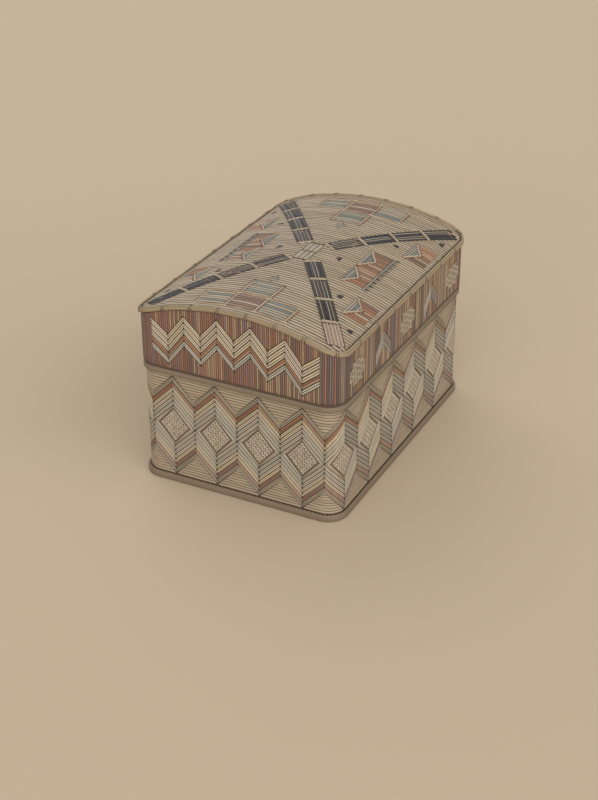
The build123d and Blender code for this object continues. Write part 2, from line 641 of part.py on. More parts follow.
with BuildSketch() as slots_plan:
    with Locations(along_arm((ARM_FOOT + ARM_END) / 2)):
        Rectangle(ARM_END - ARM_FOOT + 2 * GROOVE, ARM_SLOT_WIDTH, rotation=ARM_ANGLE)
    four_quarters()
    Rectangle(2 * CENTRE_BLOCK_LENGTH + CENTRE_BLOCK_GAP + 2 * GROOVE, CENTRE_BLOCK_WIDTH + 2 * GROOVE)

with BuildSketch() as field_plan:
    plan(LID_BARK_FACE)
    add(slots_plan.sketch, mode=Mode.SUBTRACT)

with BuildSketch() as bars_plan:
    with Locations(*[along_arm(distance) for distance in BAR_MIDDLES]):
        Rectangle(BAR_LENGTH - 2 * GROOVE, ARM_WIDTH, rotation=ARM_ANGLE)
    four_quarters()

with BuildSketch() as centre_plan:
    with Locations((CENTRE_BLOCK_GAP / 2, 0)):
        Rectangle(CENTRE_BLOCK_LENGTH, CENTRE_BLOCK_WIDTH, align=(Align.MIN, Align.CENTER))
    mirror(about=Plane.YZ)

with BuildPart() as top_field_quills:
    add(inlaid_quills(field_plan))

with BuildPart() as cross_bar_quills:
    add(inlaid_quills(bars_plan))

with BuildPart() as cross_centre_quills:
    add(inlaid_quills(centre_plan))

with BuildPart() as cross_tie_quills:
    for distance in TIE_MIDDLES:
        with BuildSketch(vault_plane(along_arm(distance), QUILL_THICKNESS)):
            Rectangle(TIE_LENGTH, ARM_WIDTH + 2 * TIE_PROUD, rotation=ARM_ANGLE)
        extrude(amount=QUILL_THICKNESS)
    four_quarters()

BLOCK_TOP = BLOCK_HALF_WIDTH - BLOCK_LEAN
BLOCK_HALF = BLOCK_HEIGHT / 2
NOTCH_TIP = BLOCK_NOTCH - BLOCK_HALF
BLOCK_POINTS = [(-BLOCK_HALF_WIDTH, BLOCK_HALF), (-BLOCK_TOP, -BLOCK_HALF), (0, NOTCH_TIP),
                (BLOCK_TOP, -BLOCK_HALF), (BLOCK_HALF_WIDTH, BLOCK_HALF)]
NOTCH_POINTS = [(3 * GROOVE - BLOCK_TOP, -BLOCK_HALF), (0, NOTCH_TIP - 2 * GROOVE),
                (BLOCK_TOP - 3 * GROOVE, -BLOCK_HALF)]
UNDERLINE_POINTS = box_points(2 * BLOCK_HALF_WIDTH, UNDERLINE, BLOCK_HALF + GROOVE + UNDERLINE / 2)
SQUARE_POINTS = box_points(SQUARE, SQUARE)
LOZENGE_POINTS = [(-LOZENGE_LENGTH / 2, 0), (0, -LOZENGE_WIDTH / 2), (LOZENGE_LENGTH / 2, 0),
                  (0, LOZENGE_WIDTH / 2)]
TUFT_POINTS = [(-TUFT_WIDTH / 2, TUFT_HEIGHT / 2), (0, -TUFT_HEIGHT / 2), (TUFT_WIDTH / 2, TUFT_HEIGHT / 2)]

with BuildPart() as top_rust_quills:
    add(laid_quills([(HIGH_BLOCK, BLOCK_POINTS), (LOW_BLOCK, BLOCK_POINTS), ((SQUARE_X, 0), SQUARE_POINTS)]))

with BuildPart() as top_teal_quills:
    add(laid_quills([(HIGH_BLOCK, NOTCH_POINTS), (LOW_BLOCK, NOTCH_POINTS), (HIGH_BLOCK, UNDERLINE_POINTS),
                     ((SQUARE_X, SQUARE_STEP), SQUARE_POINTS), ((SQUARE_X - SQUARE_STEP, 0), SQUARE_POINTS),
                     ((LOZENGE_X, 0), LOZENGE_POINTS)]))

with BuildPart() as top_tuft_quills:
    add(laid_quills([(along_arm(share * ARM_END, TUFT_OFFSET), TUFT_POINTS) for share in TUFT_SHARES]
                    + [((0, APEX_TUFT), TUFT_POINTS)]))

PIECES = {
    "base_board": base_board,
    "base_pegs": base_pegs,
    "inner_liner": inner_liner,
    "liner_stitches": liner_stitches,
    "outer_wall": outer_wall,
    "base_rim": base_rim,
    "upper_rim": upper_rim,
    "wall_edge_quills": wall_edge_quills,
    "wall_grey_quills": wall_grey_quills,
    "wall_rust_quills": wall_rust_quills,
    "wall_ivory_quills": wall_ivory_quills,
    "diamond_frame_quills": diamond_frame_quills,
    "diamond_check_quills": diamond_check_quills,
    "lid_band": lid_band,
    "lid_band_lining": lid_band_lining,
    "lid_top": lid_top,
    "lid_top_lining": lid_top_lining,
    "lid_edge_binding": lid_edge_binding,
    "lid_edge_stitches": lid_edge_stitches,
    "end_ivory_zigzag_quills": end_ivory_zigzag_quills,
    "end_rust_zigzag_quills": end_rust_zigzag_quills,
    "end_fill_quills": end_fill_quills,
    "lid_corner_quills": lid_corner_quills,
    "side_cross_quills": side_cross_quills,
    "side_arrow_quills": side_arrow_quills,
    "side_fill_quills": side_fill_quills,
    "top_field_quills": top_field_quills,
    "cross_bar_quills": cross_bar_quills,
    "cross_tie_quills": cross_tie_quills,
    "cross_centre_quills": cross_centre_quills,
    "top_rust_quills": top_rust_quills,
    "top_teal_quills": top_teal_quills,
    "top_tuft_quills": top_tuft_quills,
}

os.makedirs("parts", exist_ok=True)
for name, piece in PIECES.items():
    piece.part.label = name
    export_step(piece.part, f"parts/{name}.step")
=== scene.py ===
"""Dresses a bark box in quillwork: dyed quills, knots, root hoops and lashings over the frame."""

import bpy
import numpy as np
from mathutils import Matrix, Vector


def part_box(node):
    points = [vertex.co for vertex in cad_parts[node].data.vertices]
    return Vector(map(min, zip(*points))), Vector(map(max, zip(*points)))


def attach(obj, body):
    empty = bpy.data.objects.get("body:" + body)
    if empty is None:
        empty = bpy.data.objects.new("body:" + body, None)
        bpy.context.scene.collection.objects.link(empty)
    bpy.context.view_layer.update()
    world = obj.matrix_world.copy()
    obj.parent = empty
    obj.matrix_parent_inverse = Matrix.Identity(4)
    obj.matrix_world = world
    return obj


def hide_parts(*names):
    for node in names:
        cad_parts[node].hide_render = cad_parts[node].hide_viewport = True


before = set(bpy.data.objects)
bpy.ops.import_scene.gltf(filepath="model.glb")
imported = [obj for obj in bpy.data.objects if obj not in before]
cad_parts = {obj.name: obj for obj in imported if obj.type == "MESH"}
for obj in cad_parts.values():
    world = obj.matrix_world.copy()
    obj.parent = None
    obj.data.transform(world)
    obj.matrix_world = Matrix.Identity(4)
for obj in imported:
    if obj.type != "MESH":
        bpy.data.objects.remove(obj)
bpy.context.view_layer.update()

bl_info = {
    "name": "Quilled Bark Box",
    "version": (1, 0, 0),
    "blender": (4, 5, 0),
    "location": "View3D > Sidebar > Quilled Box",
    "description": "Lays quillwork, root hoops and lashings over the frame of a lidded bark box",
    "category": "Object",
}

MM = 0.001


def node_box(name):
    """Lowest and highest corner of a frame node, in millimetres."""
    low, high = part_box(name)
    return np.array(low) / MM, np.array(high) / MM


# Sizes read from the frame, in millimetres. HALF is half a length along X and Y.
GROOVE = 0.25
# Bare strips of the dark bark are painted shade: a line beside the edge root and one under the lid
BARE_EDGE = 0.7  # bark that shows between the lid's quills and its edge root
BARE_FOOT = 1.2  # bark that shows under the lid's quills
WALL_LOW, WALL_HIGH = node_box("wall_edge_quills")
WALL_HALF = WALL_HIGH[:2]
LAYER = WALL_HALF[0] - node_box("outer_wall")[1][0]
BELT_MID = (WALL_LOW[2] + WALL_HIGH[2]) / 2
BELT_HALF = (WALL_HIGH[2] - WALL_LOW[2]) / 2
END_LOW, END_HIGH = node_box("end_fill_quills")
CORNER_RADIUS = WALL_HALF[1] - END_HIGH[1] - GROOVE / 2
FLAT_HALF = WALL_HALF - CORNER_RADIUS
LID_RADIUS = CORNER_RADIUS + END_HIGH[0] - WALL_HALF[0]
SEAT = node_box("upper_rim")[1][2]
LID_FOOT = END_LOW[2] - SEAT + BARE_FOOT
FIELD_LOW, FIELD_HIGH = node_box("top_field_quills")
FIELD_HALF = FIELD_HIGH[:2]
CROWN = FIELD_HIGH[2]
DROP = CROWN - FIELD_LOW[2]
VAULT_RADIUS = (DROP ** 2 - LAYER ** 2 + FIELD_HALF[1] ** 2) / (2 * (DROP - LAYER))
VAULT_AXIS = CROWN - VAULT_RADIUS
BINDING_HIGH = node_box("lid_edge_binding")[1]
BINDING_ABOVE = BINDING_HIGH[2] - CROWN
BINDING_DEPTH = CROWN - END_HIGH[2]
UPRIGHT_END = BINDING_DEPTH + BARE_EDGE


def linear(code):
    """Linear RGB of an sRGB hex code: each channel to the power that the sRGB curve gives."""
    channels = np.array([int(code[i:i + 2], 16) for i in (1, 3, 5)]) / 255
    low = channels / 12.92
    high = ((channels + 0.055) / 1.055) ** 2.4
    return tuple(float(c) for c in np.where(channels <= 0.04045, low, high))


def colour(code, name, description):
    """Colour property with a hex default."""
    return bpy.props.FloatVectorProperty(
        name=name, description=description, subtype="COLOR", size=3, min=0.0, max=1.0,
        default=linear(code))


def length(value, name, description):
    """Length property with a default in millimetres."""
    return bpy.props.FloatProperty(
        name=name, description=description, unit="LENGTH", precision=5, min=0.0,
        default=value * MM)


class QUILLBOX_PG_sizes(bpy.types.PropertyGroup):
    """Sizes of the quillwork that a maker would change."""

    gap: length(0.3, "Gap", "Dark line between neighbouring quills")
    apart: length(0.28, "Apart", "Added on both sides of the line between two rows of quills")
    vault_pitch: length(3.0, "Vault pitch", "Width taken up by one quill on the vault")
    upright_pitch: length(1.55, "Upright pitch", "Width taken up by one upright quill on the lid")
    knot: length(1.7, "Knot", "Length of a dark knot where quill ends meet")
    wrap_pitch: length(3.0, "Wrap pitch", "Root taken up by one wrap round a hoop")
    ivory_rows: bpy.props.IntProperty(
        name="Ivory rows", min=1, default=4,
        description="Rows of two ivory quills between the rust row and a diamond")


class QUILLBOX_PG_colours(bpy.types.PropertyGroup):
    """Colours that a maker would change."""

    line: colour("#54453a", "Line", "Shadowed line along a quill's edge")
    floor: colour("#b6a48b", "Floor", "Plain floor under the box")


def size(name):
    """A length of the scene's settings, in millimetres."""
    return getattr(bpy.context.scene.quillbox_sizes, name) / MM


def colours():
    """The scene's colours."""
    return bpy.context.scene.quillbox_colours


# Surfaces: each map takes two places on an unrolled surface and a height over the bark, in mm.
# A girth starts at the middle of the corner at -X -Y; sides are numbered -Y, +X, +Y, -X from 0.

TURNS = np.radians([-135, -90, -90, 0, 0, 90, 90, 180, 180, 225])
CENTRES_X = FLAT_HALF[0] * np.array([-1, -1, 1, 1, 1, 1, -1, -1, -1, -1])
CENTRES_Y = FLAT_HALF[1] * np.array([-1, -1, -1, -1, 1, 1, 1, 1, -1, -1])
LONG_SIDES = (0, 2)
ENDS = (1, 3)


def plan_knots(radius):
    """Girths at which a flat or an arc ends."""
    arc = radius * np.pi / 2
    side, end = 2 * FLAT_HALF
    return np.cumsum([0, arc / 2, side, arc, end, arc, side, arc, end, arc / 2])


def plan_point(girth, radius, reach):
    """Rounded rectangle: the arcs' middle moves along the flats, a point stands at reach from it.

    Both the middle and the direction are straight functions of the girth between the knots.
    """
    knots = plan_knots(radius)
    girth = np.mod(girth, knots[-1])
    turn = np.interp(girth, knots, TURNS)
    x = np.interp(girth, knots, CENTRES_X) + reach * np.cos(turn)
    y = np.interp(girth, knots, CENTRES_Y) + reach * np.sin(turn)
    return x, y


def side_middle(side, radius):
    """Girth at the middle of a side's flat."""
    knots = plan_knots(radius)
    return (knots[2 * side + 1] + knots[2 * side + 2]) / 2


def band_map(radius, level):
    """Map of an upright band: girth round it, height above a level, and height over the bark."""
    def surface(girth, above, height):
        """The plan's point at that girth, raised to its level."""
        x, y = plan_point(girth, radius, radius - LAYER + height)
        return np.stack([x, y, level + above], -1)
    return surface


wall_map = band_map(CORNER_RADIUS, BELT_MID)
lid_map = band_map(LID_RADIUS, SEAT)


def vault_map(x, y, height):
    """Vault of the lid, a cylinder along X: place seen from above, and height over the bark."""
    rise = np.arcsin(np.clip(y / VAULT_RADIUS, -1, 1))
    reach = VAULT_RADIUS - LAYER + height
    return np.stack([x, reach * np.sin(rise), VAULT_AXIS + reach * np.cos(rise)], -1)


def vault_over_seat(y):
    """Height of the quilled vault above the lid's seat."""
    return VAULT_AXIS + np.sqrt(VAULT_RADIUS ** 2 - np.square(y)) - SEAT


# Meshes

def grid(*axes):
    """Every combination of the axes as flat arrays; a number stands for that many steps from 0."""
    axes = [np.arange(axis) if np.isscalar(axis) else axis for axis in axes]
    return [each.ravel() for each in np.meshgrid(*axes, indexing="ij")]


def quads(*ends):
    """Stack four arrays of places, each given as two coordinates, into quills x 4 x 2."""
    points = np.broadcast_arrays(*(np.stack(np.broadcast_arrays(*end), -1) for end in ends))
    return np.stack([p.reshape(-1, 2) for p in points], 1)


def strips(a, b, low, high, origin=0.0):
    """Quills between lines a and b, each from low to high; these may be functions of the line."""
    def end(line, edge):
        """A quill's end on a line."""
        return origin + line, edge(line) if callable(edge) else edge
    return quads(end(a, low), end(a, high), end(b, low), end(b, high))


def levels(near, far, low, high):
    """Level quills from near to far, between two heights."""
    return quads((near, low), (far, low), (near, high), (far, high))


def cells(span, count, number):
    """Both edges of a cell by its number, when a span about 0 is cut into equal cells."""
    return span * (number / count - 0.5), span * ((number + 1) / count - 0.5)


def mesh_object(name, body, node, points, faces, uv, values, materials, kinds=None):
    """Smooth mesh that rides on a body and stands for a frame node, if given.

    points are in millimetres. faces lists arrays of faces, each with one number of corners. uv is a
    pair for each point, values the attributes by name, and kinds a material index for each face.
    """
    corners = np.concatenate([each.ravel() for each in faces])
    totals = np.concatenate([np.full(len(each), each.shape[1]) for each in faces])
    mesh = bpy.data.meshes.new(name)
    mesh.vertices.add(points.size // 3)
    mesh.vertices.foreach_set("co", (points * MM).astype(np.float32).ravel())
    mesh.loops.add(len(corners))
    mesh.loops.foreach_set("vertex_index", corners.astype(np.int32))
    mesh.polygons.add(len(totals))
    mesh.polygons.foreach_set("loop_start", (np.cumsum(totals) - totals).astype(np.int32))
    mesh.polygons.foreach_set("loop_total", totals.astype(np.int32))
    mesh.polygons.foreach_set("use_smooth", np.ones(len(totals), bool))
    for material in materials:
        mesh.materials.append(material)
    if kinds is not None:
        mesh.polygons.foreach_set("material_index", kinds.astype(np.int32))
    mesh.update(calc_edges=True)
    layer = mesh.uv_layers.new(name="quill")
    layer.data.foreach_set("uv", uv.reshape(-1, 2)[corners].astype(np.float32).ravel())
    for label, each in values.items():
        stored = mesh.attributes.new(label, "FLOAT", "POINT")
        stored.data.foreach_set("value", each.astype(np.float32).ravel())
    if mesh.validate():
        raise RuntimeError(f"{name} has faces that Blender refuses")
    made = bpy.data.objects.new(name, mesh)
    bpy.context.scene.collection.objects.link(made)
    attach(made, body)
    if node:
        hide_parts(node)


# Shares of a quill's half width and of its height, for the points round its section
ACROSS = np.array([-1.0, -0.66, 0.0, 0.66, 1.0, 1.0, -1.0])
ARCH = np.array([0.42, 0.86, 1.0, 0.86, 0.42, 0.0, 0.0])
TIP_SHARES = (0, 0.06, 0.2)  # shares of a quill's length over which its tip narrows and falls
TIP_FALL = (0.6, 0.88, 1)
SHORT_STATIONS = np.array([0.0, 0.25, 0.75, 1.0])
SWAY = 0.05
OVER_BARK = 0.04
UV_SHIFT = 40


def cross(a, b):
    """Third component of the cross product of flat vectors."""
    return a[..., 0] * b[..., 1] - a[..., 1] * b[..., 0]


def quill_loops(corners, surface, count=7, gap=None, tip_gap=0.05, taper=0.9, rise=0.45, seed=1):
    """Quills as arched tubes between two long edges on an unrolled surface.

    corners is quills x 4 x 2: the first edge's start and end, then the other edge's. A point is the
    edges' middle plus its share across times half their distance, narrowed by the gap; its height
    is an arch over the width, lower towards both tips. Returns loops, UV and distances to a tip.
    """
    gap = size("gap") if gap is None else gap
    rng = np.random.default_rng(seed)
    a0, a1, b0, b1 = np.moveaxis(np.asarray(corners, float), 1, 0)
    turned = (cross(a1 - a0, b0 - a0) + cross(a1 - a0, b1 - a1) < 0)[:, None]
    a0, b0 = np.where(turned, b0, a0), np.where(turned, a0, b0)
    a1, b1 = np.where(turned, b1, a1), np.where(turned, a1, b1)
    start, run = (a0 + b0) / 2, (a1 + b1 - a0 - b0) / 2
    long = np.maximum(np.hypot(run[:, 0], run[:, 1]), 0.2)
    station = SHORT_STATIONS if count == 4 else np.concatenate(
        [[0.0, 0.05], np.linspace(0.15, 0.85, count - 4), [0.95, 1.0]])
    inner = np.clip(tip_gap / long, 0, 0.3)[:, None]
    along = inner + station * (1 - 2 * inner)
    half0, half1 = (b0 - a0) / 2, (b1 - a1) / 2
    half = half0[:, None] + along[..., None] * (half1 - half0)[:, None]
    width = 2 * np.abs(cross(run[:, None], half)) / long[:, None]
    near_tip = np.minimum(station, 1 - station)
    narrow = np.interp(near_tip, TIP_SHARES, [taper, (1 + taper) / 2, 1])
    share = np.clip(1 - gap / np.maximum(width, 0.05), 0.2, 1) * narrow
    middle = start[:, None] + along[..., None] * run[:, None]
    sway = SWAY * np.sin(along * 7 + 6.28 * rng.random((len(long), 1)))
    offset = ACROSS[:, None] * share[..., None, None] + sway[..., None, None]
    place = middle[:, :, None] + half[:, :, None] * offset
    plump = LAYER * rise * (0.9 + 0.1 * rng.random((len(long), 1, 1)))
    lower = np.interp(near_tip, TIP_SHARES, TIP_FALL)[None, :, None]
    height = OVER_BARK + plump * lower * ARCH
    loops = surface(place[..., 0], place[..., 1], np.broadcast_to(height, place.shape[:3]))
    run_mm = along * long[:, None]
    shifted = run_mm[..., None] + UV_SHIFT * rng.random((len(long), 1, 1))
    uv = np.stack(np.broadcast_arrays(shifted, (ACROSS + 1) / 2), -1)
    tip = np.broadcast_to(np.minimum(run_mm, long[:, None] - run_mm)[..., None], place.shape[:3])
    return loops, uv, tip


def quillwork(node, slot, corners, tone, materials, surface, kinds=None, name=None, **how):
    """One piece of quillwork, named after the frame node that it stands for, or by its own name.

    Work on the wall rides on the box and any other on the lid. Neighbouring stations of a quill are
    joined by quads, and each end is closed by one face. tone is a number and kinds a material index
    for each quill.
    """
    loops, uv, tip = quill_loops(corners, surface, **how)
    tubes, stations, around = loops.shape[:3]
    index = np.arange(tubes * stations * around).reshape(tubes, stations, around)
    ahead = np.roll(index, -1, axis=2)
    sides = np.stack([index[:, :-1], index[:, 1:], ahead[:, 1:], ahead[:, :-1]], -1).reshape(-1, 4)
    caps = np.concatenate([index[:, 0], index[:, -1, ::-1]])
    if kinds is not None:
        kinds = np.concatenate([np.repeat(kinds, (stations - 1) * around), kinds, kinds])
    values = {"tone": np.repeat(tone, stations * around), "tip": tip}
    name = name or node.replace("_quills", "_quillwork")
    body = "box" if surface is wall_map else "lid"
    mesh_object(name, body, node, loops, [sides, caps], uv, values, materials, kinds)


# Materials

SHADER = "Principled BSDF"
QUILL_IOR = 1.54
WOOD_IOR = 1.5


def add_node(tree, kind, inputs=None, **settings):
    """Add a node, set its settings, and set or link its inputs by name or number."""
    made = tree.nodes.new(kind)
    for key, value in settings.items():
        setattr(made, key, value)
    for key, value in (inputs or {}).items():
        if isinstance(value, bpy.types.NodeSocket):
            tree.links.new(value, made.inputs[key])
        else:
            made.inputs[key].default_value = value
    return made


def new_material(name, roughness, ior):
    """Material whose shader has a roughness and an index of refraction, and its node tree."""
    material = bpy.data.materials.new(name)
    material.use_nodes = True
    shader = material.node_tree.nodes[SHADER]
    shader.inputs["Roughness"].default_value = roughness
    shader.inputs["IOR"].default_value = ior
    return material, material.node_tree


def attribute(tree, name):
    """Number that a mesh gives for each point."""
    return add_node(tree, "ShaderNodeAttribute", attribute_name=name).outputs["Fac"]


def noise(tree, vector, scale, detail, distortion=0.0):
    """Noise with so many lumps for each unit along the vector's axes."""
    stretch = add_node(tree, "ShaderNodeMapping", {"Vector": vector, "Scale": scale})
    return add_node(tree, "ShaderNodeTexNoise", {
        "Vector": stretch.outputs["Vector"], "Scale": 1.0, "Detail": detail,
        "Distortion": distortion}).outputs["Fac"]


def mapped(tree, value, low, high, start=0.0, end=1.0):
    """Value between low and high, carried over to between start and end."""
    return add_node(tree, "ShaderNodeMapRange", {
        "Value": value, "From Min": low, "From Max": high, "To Min": start, "To Max": end,
    }).outputs["Result"]


def worked(tree, operation, *values):
    """Result of an operation on one or two numbers."""
    made = add_node(tree, "ShaderNodeMath", dict(enumerate(values)), operation=operation)
    return made.outputs[0]


def mixed(tree, share, first, second):
    """Mix of a colour with a share of a second, plain one."""
    made = add_node(tree, "ShaderNodeMix", {0: share, 6: first, 7: (*second, 1)}, data_type="RGBA")
    return made.outputs[2]


def ramped(tree, value, shades, interpolation="LINEAR"):
    """Colour by a value: a ramp with one stop for each hex shade, evenly spaced."""
    made = add_node(tree, "ShaderNodeValToRGB", {"Fac": value})
    made.color_ramp.interpolation = interpolation
    stops, shades = made.color_ramp.elements, shades.split()
    step = 1 / (len(shades) - (interpolation == "LINEAR"))
    for i, shade in enumerate(shades):
        stop = stops[i] if i < 2 else stops.new(i * step)
        stop.position = i * step
        stop.color = (*linear(shade), 1)
    return made.outputs["Color"]


def surfaced(tree, shade, height, strength, depth):
    """Give the shader its colour, and a bump that follows a height, in millimetres."""
    bump = add_node(tree, "ShaderNodeBump", {
        "Height": height, "Strength": strength, "Distance": depth * MM})
    inputs = tree.nodes[SHADER].inputs
    tree.links.new(shade, inputs["Base Color"])
    tree.links.new(bump.outputs["Normal"], inputs["Normal"])


def quill_material(name, shades, interpolation="LINEAR", streak=None, line=None):
    """Flattened porcupine quill, dyed: smooth horn with a dull shine and fine lengthwise streaks.

    The shade follows the quill's own tone, and its edges and tips are darker, where neighbours
    shade it. streak is a second dye, as a hex shade and a threshold, that has run along parts of a
    quill. line is the hex shade of the edges of a quill that is darker than the usual line.
    """
    material, tree = new_material(name, 0.5, QUILL_IOR)
    uv = add_node(tree, "ShaderNodeUVMap", uv_map="quill").outputs["UV"]
    base = ramped(tree, attribute(tree, "tone"), shades, interpolation)
    # Streaks are a quarter of a quill across and some 12 mm long
    fibre = noise(tree, uv, (0.08, 4.0, 1.0), 3.0)
    if streak:
        shade, threshold = streak
        stain = noise(tree, uv, (0.16, 0.5, 1.0), 1.0)
        base = mixed(tree, mapped(tree, stain, threshold, threshold + 0.05), base, linear(shade))
    value = mapped(tree, fibre, 0.3, 0.7, 0.84, 1.1)
    streaked = add_node(tree, "ShaderNodeHueSaturation", {"Value": value, "Color": base})
    across = add_node(tree, "ShaderNodeSeparateXYZ", {"Vector": uv}).outputs["Y"]
    from_middle = worked(tree, "ABSOLUTE", worked(tree, "SUBTRACT", across, 0.5))
    edge = mapped(tree, from_middle, 0.36, 0.5, 0.0, 0.7)
    end = mapped(tree, attribute(tree, "tip"), 0.9, 0.0, 0.0, 0.12)
    shaded = mixed(tree, worked(tree, "MAXIMUM", edge, end), streaked.outputs["Color"],
                   linear(line) if line else colours().line)
    surfaced(tree, shaded, fibre, 0.25, 0.15)
    return material


DYES = {
    "field": ("weathered_quill", "#94836a #9f8e75 #a7967c"),
    "pale": ("bleached_quill", "#9b8b72 #a8987f #b1a188"),
    "check": ("basket_quill", "#a99a84 #b3a48d #bcad96"),
    "grey": ("grey_dyed_quill", "#766b5b #8b806c #998d76"),
    "brown": ("brown_dyed_quill", "#66544a #776353 #836f60"),
    "rust": ("rust_dyed_quill", "#7d543b #8d6143 #996c47 #865c45"),
    "umber": ("umber_dyed_quill", "#644a39 #745642 #806248 #6c5246"),
    "faded": ("faded_rust_quill", "#9c795d #a5896d #987562"),
    "madder": ("madder_dyed_quill", "#70524a #805f53 #8a6a5a #785a50"),
    "rose": ("faded_madder_quill", "#9d7867 #a78b76 #a28171"),
    "teal": ("blue_green_dyed_quill", "#5f655e #75756b #868174 #958b78"),
    "sage": ("grey_green_dyed_quill", "#646b62 #767970 #868376 #918a79"),
    "lilac": ("grey_lilac_quill", "#81776d #91877b #9d9282"),
    "pink": ("faded_pink_quill", "#a38d79 #ac9681 #a08875"),
    "smoke": ("smoked_quill", "#3b322b #463b33 #52463c"),
    "black": ("black_dyed_quill", "#221c18 #2e2620 #372d25"),
    "navy": ("blue_black_quill", "#161210 #1c1715 #211f27 #28231f"),
    "ivory": ("undyed_quill",
              "#bcab86 #b6a78f #b8a793 #a7a18d #9c9688 #b9aa8d #aca391 #b1a189"),
    "end": ("mixed_rust_quill",
            "#815846 #715244 #8a624b #78605f #978063 #7d5647 #6a554b #8f7259"),
    "side": ("mixed_brown_quill",
             "#825e43 #5f4e45 #8c684b #6a5d61 #9d8b6f #725541 #554842 #937d5e"),
    "corner": ("mixed_violet_quill",
               "#6b5751 #5f514d #776257 #564946 #837262 #65534b #705c58 #5b4c43"),
}
# Dyes whose quills differ from one to the next: a quill has one of the shades, by its tone
MIXED = ("ivory", "end", "side", "corner")
MIXED_SHADES = 8
LINES = {"smoke": "#15120f", "black": "#15120f", "navy": "#0f0e11"}  # darker than the usual line
STREAKS = {"navy": ("#94705f", 0.64)}  # rust has run on the cross


def dyes(*keys):
    """The quill materials of some dyes, each made once."""
    made = []
    for key in keys:
        name, shades = DYES[key]
        steps = "CONSTANT" if key in MIXED else "LINEAR"
        made.append(bpy.data.materials.get(name) or quill_material(
            name, shades, steps, STREAKS.get(key), LINES.get(key)))
    return made


def shade_tone(shade):
    """Tone at which a quill of a mixed dye has the shade of that number."""
    return (shade + 0.5) / MIXED_SHADES


def bark_material(name, shades, roughness=0.75):
    """Birch bark: a matt skin with level lenticels about 8 mm long, and a mottled tone."""
    material, tree = new_material(name, roughness, WOOD_IOR)
    place = add_node(tree, "ShaderNodeTexCoord").outputs["Object"]
    mottle = add_node(tree, "ShaderNodeTexNoise", {"Vector": place, "Scale": 60.0, "Detail": 4.0})
    dash = noise(tree, place, (120, 120, 900), 2.0)
    lenticel = mapped(tree, dash, 0.62, 0.7, 0.0, 0.7)
    spotted = mixed(tree, lenticel, ramped(tree, mottle.outputs["Fac"], shades), colours().line)
    surfaced(tree, spotted, dash, 0.4, 0.3)
    return material


def pine_material():
    """Split pine board: straight grain 3 mm apart along X, matt, yellow-brown."""
    material, tree = new_material("split_pine", 0.6, WOOD_IOR)
    place = add_node(tree, "ShaderNodeTexCoord").outputs["Object"]
    grain = noise(tree, place, (12, 330, 330), 5.0, 0.6)
    surfaced(tree, ramped(tree, grain, "#8a6741 #b08b5c #c5a473"), grain, 0.3, 0.3)
    return material


def root_material(name, shades):
    """Split spruce root: woody and dull, with fibres along it and painted shade in its grooves and
    at its ends.
    """
    material, tree = new_material(name, 0.62, WOOD_IOR)
    uv = add_node(tree, "ShaderNodeUVMap", uv_map="quill").outputs["UV"]
    fibre = noise(tree, uv, (0.5, 14.0, 1.0), 4.0)
    # Painted shade: darker within half a millimetre of a hoop's grooves and seam, and of a splint's
    # ends
    groove = mapped(tree, attribute(tree, "tip"), 0.45, 0.0, 0.0, 0.8)
    groove_shaded = mixed(tree, groove, ramped(tree, fibre, shades), colours().line)
    surfaced(tree, groove_shaded, fibre, 0.4, 0.3)
    return material


def lay_knots(name, girth, above, knot, key, surface, rng):
    """Knots as short fat quill ends, a little taller than the quills they lie on."""
    wide = knot * (0.36 + 0.12 * rng.random(len(girth)))
    tall = knot * (0.42 + 0.14 * rng.random(len(girth)))
    corners = strips(girth - wide, girth + wide, above - tall, above + tall)
    quillwork(None, "navy_quill", corners, rng.random(len(girth)), dyes(key), surface, name=name,
              count=4, gap=0.0, tip_gap=0.0, taper=0.5, rise=0.62, seed=82)


# Pattern of the wall: heights count from the belt's middle

ZIGZAG_DROP = 16.0  # steeper than the frame's bands, as in the picture
FRAME_SHARE = 0.98  # reach of a diamond's border, its brown quill and its checks towards a waist
BROWN_SHARE = 0.79
CHECK_SHARE = 0.7
BROWN_WIDTH = 1.3
CHECK_CELLS = 6
DOT_SHARE = 0.88  # a dot's length as a share of a knot's
END_DIAMONDS = 5
SIDE_DIAMONDS = 5
COLUMN_SHARE = 0.88  # how far the first column stands from the corner's middle, in half arcs
LEVEL_LINES = 8
LEVEL_SHARE = 0.97


def peak(name):
    """Height of a node's top."""
    return node_box(name)[1][2] - BELT_MID


def row_edge(name):
    """Upper edge of a zigzag row, at a diamond column and at a waist column."""
    top = peak(name) + GROOVE
    return top, top - ZIGZAG_DROP


GREY_EDGE = row_edge("wall_grey_quills")
RUST_EDGE = row_edge("wall_rust_quills")
IVORY_EDGE = row_edge("wall_ivory_quills")
FRAME_PEAK = peak("diamond_frame_quills")
FRAME_EDGE = (FRAME_PEAK + GROOVE, GROOVE / 2)
CHECK_PEAK = peak("diamond_check_quills") + 2 * GROOVE


def wall_columns():
    """Girths of the columns round the wall: diamond columns and waist columns by turns.

    The first is the diamond column by the corner at -X -Y, which stands on the long side.
    """
    arc = CORNER_RADIUS * np.pi / 2
    shift = COLUMN_SHARE * arc / 2
    side, end = 2 * FLAT_HALF + arc + 2 * shift * np.array([-1, 1])
    spans = ((side, SIDE_DIAMONDS), (end, END_DIAMONDS)) * 2
    steps = [np.full(2 * n, span / (2 * n)) for span, n in spans]
    return shift + np.concatenate([[0.0], np.cumsum(np.concatenate(steps))])


def zigzag_bounds(top, bottom, rows):
    """Edges of rows between two zigzags, at a diamond column and at a waist: rows + 1 x 2."""
    share = np.linspace(0, 1, rows + 1)[:, None]
    return np.array(top) + share * (np.array(bottom) - np.array(top))


def falls(leg, half):
    """Whether a leg falls to the right, seen from outside."""
    return (leg % 2 == 0) == (half > 0)


def on_end(leg):
    """Whether a leg lies on an end of the box."""
    return leg % (2 * (SIDE_DIAMONDS + END_DIAMONDS)) >= 2 * SIDE_DIAMONDS


